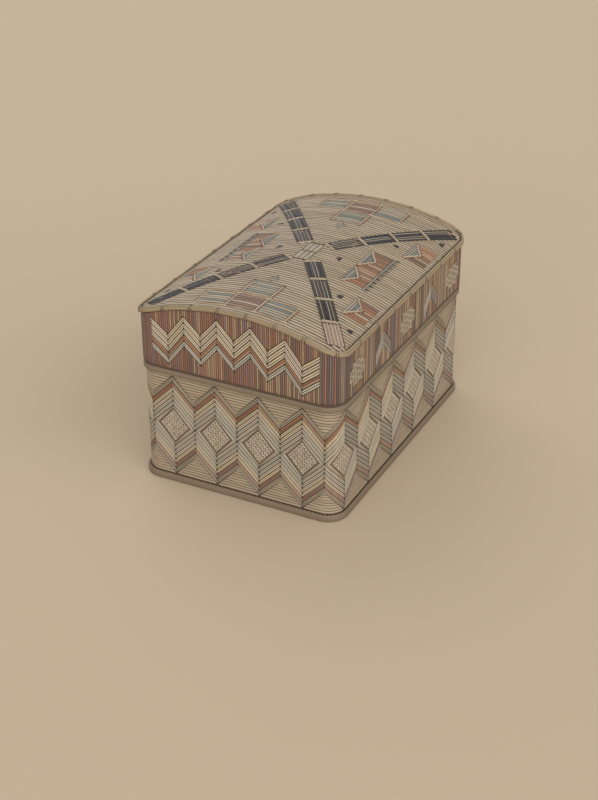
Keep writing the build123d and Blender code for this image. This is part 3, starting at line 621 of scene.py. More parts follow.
def zigzag_quills(top, bottom, rows):
    """Quills of zigzag rows on every leg, above the belt's middle and mirrored below it.

    Quills lie in pairs. The size apart is taken off the outer edges of a pair, twice as much on the
    long sides' legs that rise to the right. Returns the corners, the number of each quill from the
    outside in, its leg, and +1 above the middle or -1 below.
    """
    columns, bounds = wall_columns(), zigzag_bounds(top, bottom, rows)
    leg, row, half = grid(len(columns) - 1, rows, [1, -1])
    apart = size("apart") * np.where(on_end(leg) | falls(leg, half), 1, 2)

    def edge(number, off):
        """A row's edge from the leg's left end to its right end."""
        return ((columns[leg + i], half * (bounds[number, (leg + i) % 2] + off)) for i in (0, 1))

    corners = quads(*edge(row, -apart * (row % 2 == 0)), *edge(row + 1, apart * (row % 2 == 1)))
    return corners, row, leg, half


class QUILLBOX_OT_wall_zigzags(bpy.types.Operator):
    """Lay the zigzag rows and the level quills of the wall."""

    bl_idname = "quillbox.wall_zigzags"
    bl_label = "Wall zigzags"

    def execute(self, context):
        rng = np.random.default_rng(11)
        corners = zigzag_quills(GREY_EDGE, RUST_EDGE, 2)[0]
        quillwork("wall_grey_quills", "grey_quill", corners, 0.4 + 0.6 * rng.random(len(corners)),
                  dyes("grey"), wall_map, seed=12)
        # The rust has held on the legs that rise to the right and mostly faded on the others
        corners, row, leg, half = zigzag_quills(RUST_EDGE, IVORY_EDGE, 2)
        faded = falls(leg, half) & ((row == 1) | (half < 0))
        quillwork("wall_rust_quills", "rust_quill", corners, rng.random(len(row)),
                  dyes("rust", "faded", "madder", "rose"), wall_map, kinds=2 * (half < 0) + faded,
                  seed=13)
        rows = context.scene.quillbox_sizes.ivory_rows
        corners, row, leg, half = zigzag_quills(IVORY_EDGE, FRAME_EDGE, 2 * rows)
        # Shades by number: on the ends yellow outside, then ivory, greenish and grey; on the long
        # sides greenish and grey where a leg falls, and yellow where it rises
        pairs = np.array([[0, 5], [5, 2], [3, 6], [3, 1], [1, 7]])
        by_row = pairs[row // 2 % len(pairs), rng.integers(0, 2, len(row))]
        falling, rising = rng.choice([3, 4, 6], len(row)), rng.choice([0, 5, 4], len(row))
        shade = np.where(on_end(leg), by_row, np.where(falls(leg, half), falling, rising))
        quillwork("wall_ivory_quills", "ivory_quill", corners, shade_tone(shade), dyes("ivory"),
                  wall_map, gap=0.26, seed=14)
        self.level_quills(rng)
        return {"FINISHED"}

    def level_quills(self, rng):
        """Level quills in the triangles along the rims: as wide as the triangle at their height."""
        columns = wall_columns()
        heights = np.linspace(GREY_EDGE[1], BELT_HALF, LEVEL_LINES + 1)
        waist, line, half = grid(np.arange(1, len(columns), 2), LEVEL_LINES, [1, -1])
        reach = columns[waist] - columns[waist - 1]

        def edge(number, least):
            """Both ends of a line across the triangle, by its number from the point."""
            share = np.clip((heights[number] - GREY_EDGE[1]) / ZIGZAG_DROP, least, 1)
            wide = reach * share * LEVEL_SHARE
            return ((columns[waist] + hand * wide, half * heights[number]) for hand in (-1, 1))

        corners = quads(*edge(line + 1, 0), *edge(line, 0.02))
        quillwork("wall_edge_quills", "ivory_quill", corners, 0.5 * rng.random(len(line)),
                  dyes("field"), wall_map, count=9, gap=0.24, seed=15)


class QUILLBOX_OT_wall_diamonds(bpy.types.Operator):
    """Lay the borders and the checked middles of the diamonds."""

    bl_idname = "quillbox.wall_diamonds"
    bl_label = "Wall diamonds"

    def execute(self, context):
        columns = wall_columns()
        middles, spans = columns[:-1:2], np.diff(columns)
        after, before = spans[::2], np.roll(spans, 1)[::2]
        rng = np.random.default_rng(21)
        # Borders: on each of the four sides a brown quill along the checks, then two ivory ones
        n, right, up, line = grid(len(middles), [1, -1], [1, -1], 3)
        reach = right * np.where(right > 0, after[n], before[n])
        peaks = np.array([CHECK_PEAK, CHECK_PEAK + BROWN_WIDTH, FRAME_PEAK - 0.5, FRAME_PEAK])
        shares = np.array([CHECK_SHARE, BROWN_SHARE, (BROWN_SHARE + FRAME_SHARE) / 2, FRAME_SHARE])

        def edge(number):
            """A quill's edge by its number, from the diamond's point to its waist."""
            return (middles[n], up * peaks[number]), (middles[n] + shares[number] * reach, 0 * up)

        corners = quads(*edge(line + 1), *edge(line))
        light = (line > 0).astype(int)
        tone = np.where(light, 0.68 + 0.05 * line, rng.random(len(n)))
        quillwork("diamond_frame_quills", "grey_quill", corners, tone, dyes("brown", "ivory"),
                  wall_map, kinds=light, gap=0.25, seed=22)
        # Checks: light quills along one slope, and a dark dot where a dyed quill passes under them
        n, i, j = grid(len(middles), CHECK_CELLS, CHECK_CELLS)

        def spot(i, j):
            """Place in a diamond, in cells along its two slopes from the top."""
            p, q = i / CHECK_CELLS, j / CHECK_CELLS
            reach = CHECK_SHARE * np.where(p > q, after[n], before[n]) - 2 * GROOVE
            return middles[n] + reach * (p - q), (CHECK_PEAK - 2 * GROOVE) * (1 - p - q)

        corners = quads(spot(i, j), spot(i + 1, j), spot(i, j + 1), spot(i + 1, j + 1))
        quillwork("diamond_check_quills", "checked_quill", corners, rng.random(len(n)),
                  dyes("check"), wall_map, count=4, gap=0.2, seed=23)
        girth, above = spot(i + 0.5, j + 0.5)
        lay_knots("diamond_check_dots", girth, above, DOT_SHARE * size("knot"), "smoke", wall_map,
                  rng)
        return {"FINISHED"}


# Pattern of the lid's band: heights count from its seat

LID_LEGS = 10
LID_ROWS = 5
RUST_ROW = 3
LID_PEAK = 31.5
LID_DROP = 13.0
LID_ROW = 4.4
ARCH_SHARE = 0.9  # share of the vault's rise that the zigzag follows
MOTIF_PITCH = (FLAT_HALF[0] - 13.0) / 2
CROSS_AT = np.array([-2, 0, 2]) * MOTIF_PITCH
CROSS_MIDDLE = 16.5
CROSS_WIDTH = 24.0
CROSS_HEIGHT = 17.0
CROSS_STEP = 4.5
CROSS_COLUMNS = 6
CROSS_ROWS = 8
ARROW_AT = np.array([-1, 1]) * MOTIF_PITCH
ARROW_HALF_WIDTH = 12.5
ARROW_SHOULDER = 13.0
ARROW_LEG = 10.0
ARROW_TIP = 27.0
ARROW_LINES = 4


def end_places():
    """Places of the zigzag's peaks and valleys along the lid's end, from its middle."""
    return np.linspace(-FLAT_HALF[1], FLAT_HALF[1], LID_LEGS + 1)


def end_zigzag(y, row):
    """Height of the zigzag above a row at a place along the lid's end, in rows from its top."""
    places = end_places()
    rise = vault_over_seat(places) - vault_over_seat(FLAT_HALF[1] + LID_RADIUS)
    knees = LID_PEAK + ARCH_SHARE * rise - LID_DROP * (np.arange(LID_LEGS + 1) % 2)
    return np.interp(y, places, knees) - row * LID_ROW


def upright_edges(half):
    """Edges of the upright quills along a flat of the lid, from its middle."""
    return np.linspace(-half, half, int(2 * half / size("upright_pitch")) + 1)


class QUILLBOX_OT_lid_ends(bpy.types.Operator):
    """Lay the zigzag rows and the upright quills on both ends of the lid."""

    bl_idname = "quillbox.lid_ends"
    bl_label = "Lid ends"

    def execute(self, context):
        rng = np.random.default_rng(31)
        places = end_places()
        side, leg, line = grid(ENDS, LID_LEGS, 2 * LID_ROWS)
        middle, row, odd = side_middle(side, LID_RADIUS), line // 2, line % 2
        apart = size("apart") / LID_ROW
        upper = line / 2 + np.where(odd == 0, apart, 0)
        lower = (line + 1) / 2 - np.where(odd == 1, apart, 0)
        corners = quads(*((middle + at, end_zigzag(at, edge)) for edge in (upper, lower)
                          for at in (places[leg], places[leg + 1])))
        rust = row == RUST_ROW
        tone = rng.random(len(row))
        quillwork("end_rust_zigzag_quills", "rust_quill", corners[rust], tone[rust],
                  dyes("rust", "faded"), lid_map, kinds=(leg % 2 * odd)[rust], seed=32)
        # The row under the rust is greyer
        grey, yellow = rng.choice([4, 6, 3], len(row)), rng.choice([0, 1, 2, 7], len(row))
        shade = np.where(row > RUST_ROW, grey, yellow)[~rust]
        quillwork("end_ivory_zigzag_quills", "ivory_quill", corners[~rust], shade_tone(shade),
                  dyes("ivory"), lid_map, seed=33)
        self.uprights(rng)
        return {"FINISHED"}

    def uprights(self, rng):
        """Upright quills from the foot to the zigzag and from the zigzag to the binding."""
        edges = upright_edges(FLAT_HALF[1])
        side, column, upper = grid(ENDS, len(edges) - 1, 2)

        def low(y):
            """Over the zigzag's top row, or the foot."""
            return np.where(upper == 1, end_zigzag(y, 0) + GROOVE, LID_FOOT)

        def high(y):
            """Under the binding, or under the zigzag's last row."""
            under = end_zigzag(y, LID_ROWS) - GROOVE
            return np.where(upper == 1, vault_over_seat(y) - UPRIGHT_END, under)

        corners = strips(edges[column], edges[column + 1], low, high, side_middle(side, LID_RADIUS))
        quillwork("end_fill_quills", "rust_quill", corners, rng.random(len(column)), dyes("end"),
                  lid_map, seed=34)


class QUILLBOX_OT_lid_corners(bpy.types.Operator):
    """Lay the upright quills round the corners of the lid."""

    bl_idname = "quillbox.lid_corners"
    bl_label = "Lid corners"

    def execute(self, context):
        rng = np.random.default_rng(41)
        arc = LID_RADIUS * np.pi / 2
        count = int(arc / size("upright_pitch"))
        starts = np.array([-arc / 2, *plan_knots(LID_RADIUS)[2:8:2]])
        corner, column = grid(4, count)

        def top(line):
            """Under the binding, which falls round the corner."""
            y = plan_point(starts[corner] + line, LID_RADIUS, LID_RADIUS)[1]
            return vault_over_seat(y) - UPRIGHT_END

        corners = strips(arc * column / count, arc * (column + 1) / count, LID_FOOT, top,
                         starts[corner])
        # In the half by an end most are as rusty as the end, and the half by a long side is darker
        by_end = ((column < count / 2) == (corner % 2 == 0)) & (rng.random(len(column)) < 0.6)
        quillwork("lid_corner_quills", "rust_quill", corners, rng.random(len(column)),
                  dyes("corner", "end"), lid_map, kinds=by_end.astype(int), seed=42)
        return {"FINISHED"}


class QUILLBOX_OT_lid_sides(bpy.types.Operator):
    """Lay the crosses, arrows and upright quills on both long sides of the lid."""

    bl_idname = "quillbox.lid_sides"
    bl_label = "Lid sides"

    def execute(self, context):
        rng = np.random.default_rng(51)
        self.crosses(rng)
        self.arrows(rng)
        self.uprights(rng)
        return {"FINISHED"}

    def crosses(self, rng):
        """Checked crosses: short level quills in rows, light and grey by turns, without corners."""
        side, at, i, j = grid(LONG_SIDES, CROSS_AT, CROSS_COLUMNS, CROSS_ROWS)
        x0, x1 = cells(CROSS_WIDTH, CROSS_COLUMNS, i)
        z0, z1 = cells(CROSS_HEIGHT, CROSS_ROWS, j)
        stepped = (np.abs(x0 + x1) / 2 > CROSS_WIDTH / 2 - CROSS_STEP) & (
            np.abs(z0 + z1) / 2 > CROSS_HEIGHT / 2 - CROSS_STEP)
        middle = side_middle(side, LID_RADIUS) + at
        corners = levels(middle + x0, middle + x1, CROSS_MIDDLE + z0, CROSS_MIDDLE + z1)[~stepped]
        odd = ((i + j) % 2)[~stepped]
        quillwork("side_cross_quills", "checked_quill", corners, 0.5 + 0.5 * rng.random(len(odd)),
                  dyes("pale", "grey"), lid_map, kinds=odd, count=4, tip_gap=0.25, seed=52)

    def arrows(self, rng):
        """Arrows: four quills along each leg of a chevron that points up."""
        side, at, hand, line = grid(LONG_SIDES, ARROW_AT, [1, -1], ARROW_LINES)
        middle = side_middle(side, LID_RADIUS) + at
        far = middle + hand * ARROW_HALF_WIDTH
        top = ARROW_TIP - ARROW_LEG * line / ARROW_LINES
        bottom = ARROW_TIP - ARROW_LEG * (line + 1) / ARROW_LINES
        corners = quads((middle, top), (far, top - ARROW_SHOULDER),
                        (middle, bottom), (far, bottom - ARROW_SHOULDER))
        quillwork("side_arrow_quills", "grey_quill", corners, rng.random(len(line)),
                  dyes("lilac"), lid_map, seed=53)

    def uprights(self, rng):
        """Upright quills above and below the motifs, and whole ones between them."""
        edges = upright_edges(FLAT_HALF[0])
        a, b = edges[:-1], edges[1:]
        middles = (a + b) / 2
        eave = vault_over_seat(FLAT_HALF[1] + LID_RADIUS) - UPRIGHT_END
        to_cross = np.abs(middles[:, None] - CROSS_AT).min(1)
        nearest = ARROW_AT[np.abs(middles[:, None] - ARROW_AT).argmin(1)]
        in_arrow = np.abs(middles - nearest) < ARROW_HALF_WIDTH
        met = in_arrow | (to_cross < CROSS_WIDTH / 2)
        in_step = to_cross >= CROSS_WIDTH / 2 - CROSS_STEP
        half = CROSS_HEIGHT / 2 - np.where(in_step, CROSS_STEP, 0)

        def motif(x, hand):
            """Height of the upper (+1) or lower (-1) edge of the motif that a column meets."""
            slope = ARROW_TIP - ARROW_SHOULDER * np.abs(x - nearest) / ARROW_HALF_WIDTH
            arrow = slope - ARROW_LEG * (hand < 0) + hand * GROOVE
            return np.where(in_arrow, arrow, CROSS_MIDDLE + hand * (half + GROOVE))

        below = strips(a, b, LID_FOOT, lambda x: np.where(met, motif(x, -1), eave))
        above = strips(a, b, lambda x: motif(x, 1), eave)[met]
        one_side = np.concatenate([below, above])
        corners = np.concatenate([
            one_side + [side_middle(side, LID_RADIUS), 0] for side in LONG_SIDES])
        quillwork("side_fill_quills", "rust_quill", corners, rng.random(len(corners)),
                  dyes("side"), lid_map, seed=54)


# Pattern of the vault, seen from above. It is the same in all four quarters, and dyes are numbers.

FIELD, RUST, TEAL, VIOLET, SAGE, BARE = 0, 1, 2, 3, 4, -1
QUARTERS = np.array([(1, 1), (1, -1), (-1, 1), (-1, -1)], float)
SAMPLE = 0.1  # step at which the pattern is read along a quill
SHORTEST = 6  # a run of no more steps than this is left bare
ARM_TURN = np.arctan2(FIELD_HALF[1], FIELD_HALF[0])
ARM_ALONG = np.array([np.cos(ARM_TURN), np.sin(ARM_TURN)])
ARM_WIDTH = 11.0
ARM_START = 18.0
ARM_END = np.hypot(*FIELD_HALF) - 11.5
ARM_BARS = 4
ARM_MARGIN = 0.5
BAR_LINES = [1.6, 0.75] * 4 + [1.6]  # widths of dark quills and of slivers between them, by turns
BAR_FRAY = 1.6
TIE_LENGTH = 2.6
CENTRE_LENGTH = 13.0
CENTRE_WIDTH = 11.0
CENTRE_GAP = 1.2
CENTRE_LINES = 3
BLOCK_HALF_WIDTH = 14.0
BLOCK_HEIGHT = 16.5
BLOCK_NOTCH = 8.5
BLOCK_LEAN = 1.0
BLOCK_LINES = 4
BLOCKS = ((BLOCK_HALF_WIDTH + GROOVE / 2, FIELD_HALF[1] - 23.0),
          (0.457 * FIELD_HALF[0], FIELD_HALF[1] - 4.0))
FOLD_FOOT = BLOCK_HEIGHT - BLOCK_NOTCH
FOLD_HALF = BLOCK_HALF_WIDTH - BLOCK_LEAN
FOLD_BORDER = 1.7
FOLD_LIGHT = 0.9
# Edges along a fold: how far off its foot, off its half width and off its top
FOLD_LIGHT_EDGES = ((-FOLD_LIGHT, -1.3, 0.0), (FOLD_LIGHT, 0.3, 0.8))
FOLD_OUTLINE_EDGES = ((1.0, 0.3, 0.9), (FOLD_BORDER, 0.4, 1.6))
TRIANGLE_FOOT = 1.6
UNDERLINE = 1.6
COMB_TEETH = 14
COMB_LENGTH = 3.4
SQUARE = 20.0
SQUARE_STEP = 22.2
SQUARE_X = FIELD_HALF[0] - 8.0 - SQUARE / 2
SQUARE_BAND = (-1.0, 0.5, 1.0)  # edges of a light band between squares and of the line along it
SQUARE_SIDE = 0.3  # half width of a square's side line
SQUARES = ((SQUARE_X, 0.0, VIOLET), (SQUARE_X, SQUARE_STEP, SAGE),
           (SQUARE_X - SQUARE_STEP, 0.0, SAGE))
LOZENGE = (10.0, 8.0)
LOZENGE_X = SQUARE_X - SQUARE_STEP - SQUARE / 2 - 2.2 - LOZENGE[0] / 2
TUFTS_ALONG = (0.53 * ARM_END, 0.85 * ARM_END)
TUFT_OFFSET = 11.5
TUFT_HALF = 2.2
TUFT_FOOT = (0.5, 0.7)  # distance from quill to quill, and half a quill's width
TUFT_TOP = (1.8, 1.3)
APEX_TUFT = 23.0
FAR = 99.0


def from_arm(x, y):
    """Distance of a place from the nearest arm's edge, less than 0 inside; far beyond its ends."""
    x, y = np.abs(x), np.abs(y)
    along = x * ARM_ALONG[0] + y * ARM_ALONG[1]
    across = np.abs(y * ARM_ALONG[0] - x * ARM_ALONG[1])
    beside = (along > ARM_START - TIE_LENGTH) & (along < ARM_END + 0.3)
    return np.where(beside, across - ARM_WIDTH / 2 - ARM_MARGIN, FAR)


def cut_slope(x, y):
    """Slope of a quill's end: the arm's own slope where the end lies on an arm's edge, else 0."""
    meets = np.abs(from_arm(x, y)) < 2 * SAMPLE
    return np.where(meets, np.sign(x * y) * ARM_ALONG[1] / ARM_ALONG[0], 0.0)


def on_arms(places):
    """Places given along and across an arm, turned to the plan of the vault."""
    along, across = np.moveaxis(np.asarray(places, float), -1, 0)
    return np.stack([along * ARM_ALONG[0] - across * ARM_ALONG[1],
                     along * ARM_ALONG[1] + across * ARM_ALONG[0]], -1)


def vault_dye(x, y):
    """Which dye lies at a place of the vault, in numbers.

    Only quills that run across the vault count: places of the others are bare.
    """
    x, y = np.abs(x), np.abs(y)
    dyed = np.full(np.broadcast(x, y).shape, FIELD)
    for block_x, foot in BLOCKS:
        above, beside = foot - y, np.abs(x - block_x)
        inside = (above > 0) & (above < BLOCK_HEIGHT) & (
            beside < BLOCK_HALF_WIDTH - BLOCK_LEAN * above / BLOCK_HEIGHT)
        fold = FOLD_FOOT + BLOCK_NOTCH * beside / FOLD_HALF
        dyed = np.where(inside, np.where(above < fold - FOLD_BORDER, RUST, BARE), dyed)
    high_x, foot = BLOCKS[0]
    under = (y > foot) & (y < foot + GROOVE + UNDERLINE) & (x < high_x + BLOCK_HALF_WIDTH)
    dyed = np.where(under, BARE, dyed)
    for square_x, square_y, kind in SQUARES:
        beside, above = np.abs(x - square_x) < SQUARE / 2, np.abs(y - square_y)
        dyed = np.where(beside & (above < SQUARE / 2), kind, dyed)
        between = (above > SQUARE / 2) & (above < SQUARE_STEP - SQUARE / 2)
        dyed = np.where(beside & between, BARE, dyed)
    lozenge = np.abs(x - LOZENGE_X) / LOZENGE[0] + y / LOZENGE[1] < 0.5
    dyed = np.where(lozenge, TEAL, dyed)
    centre = (x < CENTRE_LENGTH + CENTRE_GAP / 2 + 0.2) & (y < CENTRE_WIDTH / 2 + 0.2)
    return np.where((from_arm(x, y) < 0) | centre, BARE, dyed)


def vault_edge(x):
    """Half width of the vault at a place along it, less at the rounded corners."""
    radius = CORNER_RADIUS + FIELD_HALF[0] - WALL_HALF[0]
    beyond = np.clip(np.abs(x) - FLAT_HALF[0], 0, radius - 0.01)
    return FLAT_HALF[1] + np.sqrt(radius ** 2 - beyond ** 2)


class QUILLBOX_OT_vault_field(bpy.types.Operator):
    """Lay the quills of the vault side by side across it, each in the dye of the pattern there."""

    bl_idname = "quillbox.vault_field"
    bl_label = "Vault field"

    def execute(self, context):
        rng = np.random.default_rng(61)
        count = int(2 * FIELD_HALF[0] / size("vault_pitch"))
        edges = np.linspace(-FIELD_HALF[0] + 0.2, FIELD_HALF[0] - 0.2, count + 1)
        middles = (edges[:-1] + edges[1:]) / 2
        y = np.arange(-FIELD_HALF[1], FIELD_HALF[1], SAMPLE) + SAMPLE / 2
        dyed = vault_dye(middles[:, None], y[None])
        dyed = np.where(np.abs(y) < vault_edge(middles)[:, None] - BARE_EDGE, dyed, BARE)
        # A quill runs on until the dye changes
        fresh = np.ones(dyed.shape, bool)
        fresh[:, 1:] = dyed[:, 1:] != dyed[:, :-1]
        column, first = np.nonzero(fresh)
        after = np.append(first[1:], len(y))
        after = np.where(after <= first, len(y), after)
        kind = dyed[column, first]
        keep = (kind != BARE) & (after - first > SHORTEST)
        column, first, after, kind = column[keep], first[keep], after[keep], kind[keep]
        low, high = y[first] - SAMPLE / 2, y[after - 1] + SAMPLE / 2
        a, b = edges[column], edges[column + 1]
        low_cut = cut_slope(middles[column], low) * (b - a) / 2
        high_cut = cut_slope(middles[column], high) * (b - a) / 2
        corners = quads((a, low - low_cut), (a, high - high_cut),
                        (b, low + low_cut), (b, high + high_cut))
        tone = rng.random(len(kind))
        field, rust, teal = (np.isin(kind, kinds) for kinds in (
            (FIELD,), (RUST, VIOLET), (TEAL, SAGE)))
        quillwork("top_field_quills", "ivory_quill", corners[field], tone[field], dyes("field"),
                  vault_map, count=11, gap=0.65, seed=62)
        # Blocks mix rust, umber, faded and light quills; squares have theirs in an even sequence
        pick = np.mod(0.618 * column + 0.1 * first, 1)
        in_square = np.array([4, 1, 2, 3])[np.digitize(pick, [0.4, 0.68, 0.74])]
        in_block = np.array([0, 4, 2, 3])[np.digitize(tone, [0.3, 0.58, 0.76])]
        shade = np.where(kind == VIOLET, in_square, in_block)
        quillwork("top_rust_quills", "rust_quill", corners[rust], rng.random(rust.sum()),
                  dyes("rust", "madder", "faded", "field", "umber"), vault_map, kinds=shade[rust],
                  gap=0.5, seed=63)
        shade = np.where(kind == SAGE, 1 + (pick > 0.6), 0)
        quillwork("top_teal_quills", "teal_quill", corners[teal], tone[teal],
                  dyes("teal", "sage", "field"), vault_map, kinds=shade[teal], gap=0.5, seed=64)
        return {"FINISHED"}


class QUILLBOX_OT_vault_blocks(bpy.types.Operator):
    """Lay the blocks' blue-green triangles and borders, the underlines and the squares' bands."""

    bl_idname = "quillbox.vault_blocks"
    bl_label = "Vault blocks"

    def execute(self, context):
        rng = np.random.default_rng(65)
        teal, light, outline = [], [], []
        heights = np.linspace(FOLD_FOOT + TRIANGLE_FOOT, BLOCK_HEIGHT, BLOCK_LINES + 1)
        wide = FOLD_HALF * (heights - FOLD_FOOT - FOLD_LIGHT) / BLOCK_NOTCH
        for x, foot in BLOCKS:
            y = foot - heights
            teal.append(quads(*((x + hand * wide[part], y[part])
                                for part in (slice(-1), slice(1, None)) for hand in (-1, 1))))
            light.append(self.along_fold(x, foot, FOLD_LIGHT_EDGES))
            outline.append(self.along_fold(x, foot, FOLD_OUTLINE_EDGES))
        foot = BLOCKS[0][1] + GROOVE
        end = BLOCKS[0][0] + BLOCK_HALF_WIDTH
        teal.append(levels(0.1, end, foot, foot + UNDERLINE))
        self.lay("block_triangle_quillwork", "teal_quill", teal, "teal", rng)
        tooth = np.linspace(1.0, end - 0.6, COMB_TEETH)
        under = foot + UNDERLINE - 0.3
        comb = quads((tooth - 0.5, under), (tooth + 0.1, under + COMB_LENGTH),
                     (tooth + 0.5, under), (tooth + 0.5, under + COMB_LENGTH))
        self.lay("underline_comb_quillwork", "navy_quill", [comb], "smoke", rng, gap=0.0, rise=0.66,
                 count=4)
        for x, y, _ in SQUARES:
            near, far = x - SQUARE / 2, x + SQUARE / 2
            for edge in sorted({SQUARE_STEP / 2, y + SQUARE_STEP / 2}, reverse=True):
                low, middle, high = (edge + off for off in SQUARE_BAND)
                light.append(levels(near, far, low, middle))
                outline.append(levels(near, far, middle, high))
            side = np.array([near - SQUARE_SIDE, far + SQUARE_SIDE])
            outline.append(strips(side - SQUARE_SIDE, side + SQUARE_SIDE,
                                  max(y - SQUARE / 2, 0.0), y + SQUARE / 2))
        self.lay("block_border_quillwork", "ivory_quill", light, "pale", rng)
        self.lay("block_outline_quillwork", "rust_quill", outline, "rust", rng, gap=0.0, rise=0.6)
        return {"FINISHED"}

    def along_fold(self, x, foot, edges):
        """Quills between two edges along both slopes of a fold, from its foot to its ends."""
        hand = np.array([1, -1])
        fold, top = foot - FOLD_FOOT, foot - BLOCK_HEIGHT
        return quads(*(place for low, out, high in edges for place in (
            (x, fold + low), (x + hand * (FOLD_HALF + out), top + high))))

    def lay(self, name, slot, corners, key, rng, **how):
        """Quills of one dye, mirrored into all four quarters."""
        whole = np.concatenate([np.concatenate(corners) * hand for hand in QUARTERS])
        quillwork(None, slot, whole, rng.random(len(whole)), dyes(key), vault_map, name=name,
                  seed=66, **how)


class QUILLBOX_OT_vault_cross(bpy.types.Operator):
    """Lay the dark bars, ties and middle of the cross, and the tufts beside it."""

    bl_idname = "quillbox.vault_cross"
    bl_label = "Vault cross"

    def execute(self, context):
        rng = np.random.default_rng(71)
        bar_length = (ARM_END - ARM_START - (ARM_BARS - 1) * TIE_LENGTH) / ARM_BARS
        pitch = bar_length + TIE_LENGTH
        edges = np.cumsum([0.0] + BAR_LINES) * ARM_WIDTH / sum(BAR_LINES) - ARM_WIDTH / 2
        quarter, bar, line = grid(4, ARM_BARS, len(BAR_LINES))
        begin = ARM_START + bar * pitch
        start = begin + 0.1 + BAR_FRAY * rng.random(len(bar)) ** 2
        end = begin + bar_length - 0.1 - BAR_FRAY * rng.random(len(bar)) ** 2
        corners = on_arms(levels(start, end, edges[line], edges[line + 1]))
        # Most slivers are light, some are faded rust, and the near arm's last bar has faded to pink
        pick = rng.random(len(bar))
        sliver = line % 2 == 1
        kind = np.where(sliver & (pick < 0.55), 1, np.where(sliver & (pick > 0.85), 2, 0))
        kind = np.where((quarter == 3) & (bar == ARM_BARS - 1), 3, kind)
        quillwork("cross_bar_quills", "navy_quill", corners * QUARTERS[quarter][:, None],
                  rng.random(len(bar)), dyes("navy", "pale", "faded", "pink"), vault_map,
                  kinds=kind, gap=0.15, rise=np.where(sliver, 0.5, 0.68)[:, None, None], seed=72)
        quarter, tie, line = grid(4, ARM_BARS, 2)
        start = ARM_START - TIE_LENGTH + tie * pitch + line * TIE_LENGTH / 2
        half = ARM_WIDTH / 2 + 0.4
        corners = on_arms(strips(start, start + TIE_LENGTH / 2, -half, half))
        quillwork("cross_tie_quills", "ivory_quill", corners * QUARTERS[quarter][:, None],
                  0.6 * rng.random(len(tie)), dyes("pale"), vault_map, gap=0.25, rise=0.7, seed=73)
        hand, line = grid([1, -1], CENTRE_LINES)
        corners = levels(hand * CENTRE_GAP / 2, hand * (CENTRE_GAP / 2 + CENTRE_LENGTH),
                         *cells(CENTRE_WIDTH, CENTRE_LINES, line))
        quillwork("cross_centre_quills", "checked_quill", corners,
                  0.6 + 0.4 * rng.random(len(line)), dyes("grey"), vault_map, gap=0.25, seed=74)
        self.tufts(rng)
        return {"FINISHED"}

    def tufts(self, rng):
        """Tufts: three short dark quills that fan out from a point, away from the crown."""
        by_arm = on_arms([(along, TUFT_OFFSET) for along in TUFTS_ALONG])
        places = np.array([*by_arm, (0.0, APEX_TUFT)])
        quarter, at, fan = grid(4, len(places), [-1, 0, 1])
        # A tuft on the middle line is laid once on each side
        once = (places[at, 0] > 0) | (QUARTERS[quarter, 0] > 0)
        quarter, at, fan = quarter[once], at[once], fan[once]
        x, y = (QUARTERS[quarter] * places[at]).T
        rise = QUARTERS[quarter, 1] * TUFT_HALF
        ends = ((TUFT_FOOT, y - rise), (TUFT_TOP, y + rise))
        corners = quads(*((x + fan * apart + hand * half, level) for hand in (-1, 1)
                          for (apart, half), level in ends))
        quillwork("top_tuft_quills", "navy_quill", corners, rng.random(len(fan)), dyes("black"),
                  vault_map, count=4, gap=0.2, rise=0.7, seed=75)


class QUILLBOX_OT_seam_knots(bpy.types.Operator):
    """Set a dark knot at each place where quill ends meet on a seam of the zigzags."""

    bl_idname = "quillbox.seam_knots"
    bl_label = "Seam knots"

    def execute(self, context):
        rows = context.scene.quillbox_sizes.ivory_rows
        rng = np.random.default_rng(81)
        ivory = zigzag_bounds(IVORY_EDGE, FRAME_EDGE, rows)
        bounds = np.concatenate([[GREY_EDGE, RUST_EDGE], ivory])
        columns = wall_columns()[:-1]
        column, row, half = grid(len(columns), np.arange(1, len(bounds)), [1, -1])
        lay_knots("wall_seam_knots", columns[column], half * bounds[row, column % 2], size("knot"),
                  "black", wall_map, rng)
        side, place, row = grid(ENDS, end_places()[1:-1], LID_ROWS + 1)
        lay_knots("lid_seam_knots", side_middle(side, LID_RADIUS) + place, end_zigzag(place, row),
                  size("knot"), "black", lid_map, rng)
        return {"FINISHED"}


# Root hoops

HOOP_SAMPLES = 2100
HOOP_AROUND = 20
HOOP_SLANT = 0.8
WRAP_GROOVE = (0.2, 0.09)  # depth as a share of the reach, and width as a share of a wrap
WRAP_SWELL = 0.05
SEAM_GROOVE = (0.25, 0.45)  # depth as a share of the reach, and width in millimetres
ROUNDING = 0.7  # power that squares a root's section off; 1 would be an ellipse
ROOT_PLAY = 0.1
EDGE_PITCH = 27.0
EDGE_SLANT = 0.9
# The seam lies on a ring of the section's points, so that its painted shade is a clean line
EDGE_SEAM = np.radians(54)
LASHINGS = (7, 6, 7, 6)  # on each side, besides one at each corner
SPLINT_LEANS = (-1.3, 0.1, 1.3)
SPLINT_KINDS = (1, 0, 1)  # dark, light, dark
SPLINT_HALF = np.array([0.65, 0.4])  # half widths of a light and a dark splint
SPLINT_START, SPLINT_END = np.radians((150, -50))


def section(half_wide, half_tall, angle):
    """Superellipse: the angle's cosine and sine to a power, signed, times the half sizes."""
    out, up = (np.sign(wave) * np.abs(wave) ** ROUNDING for wave in (np.cos(angle), np.sin(angle)))
    return half_wide * out, half_tall * up


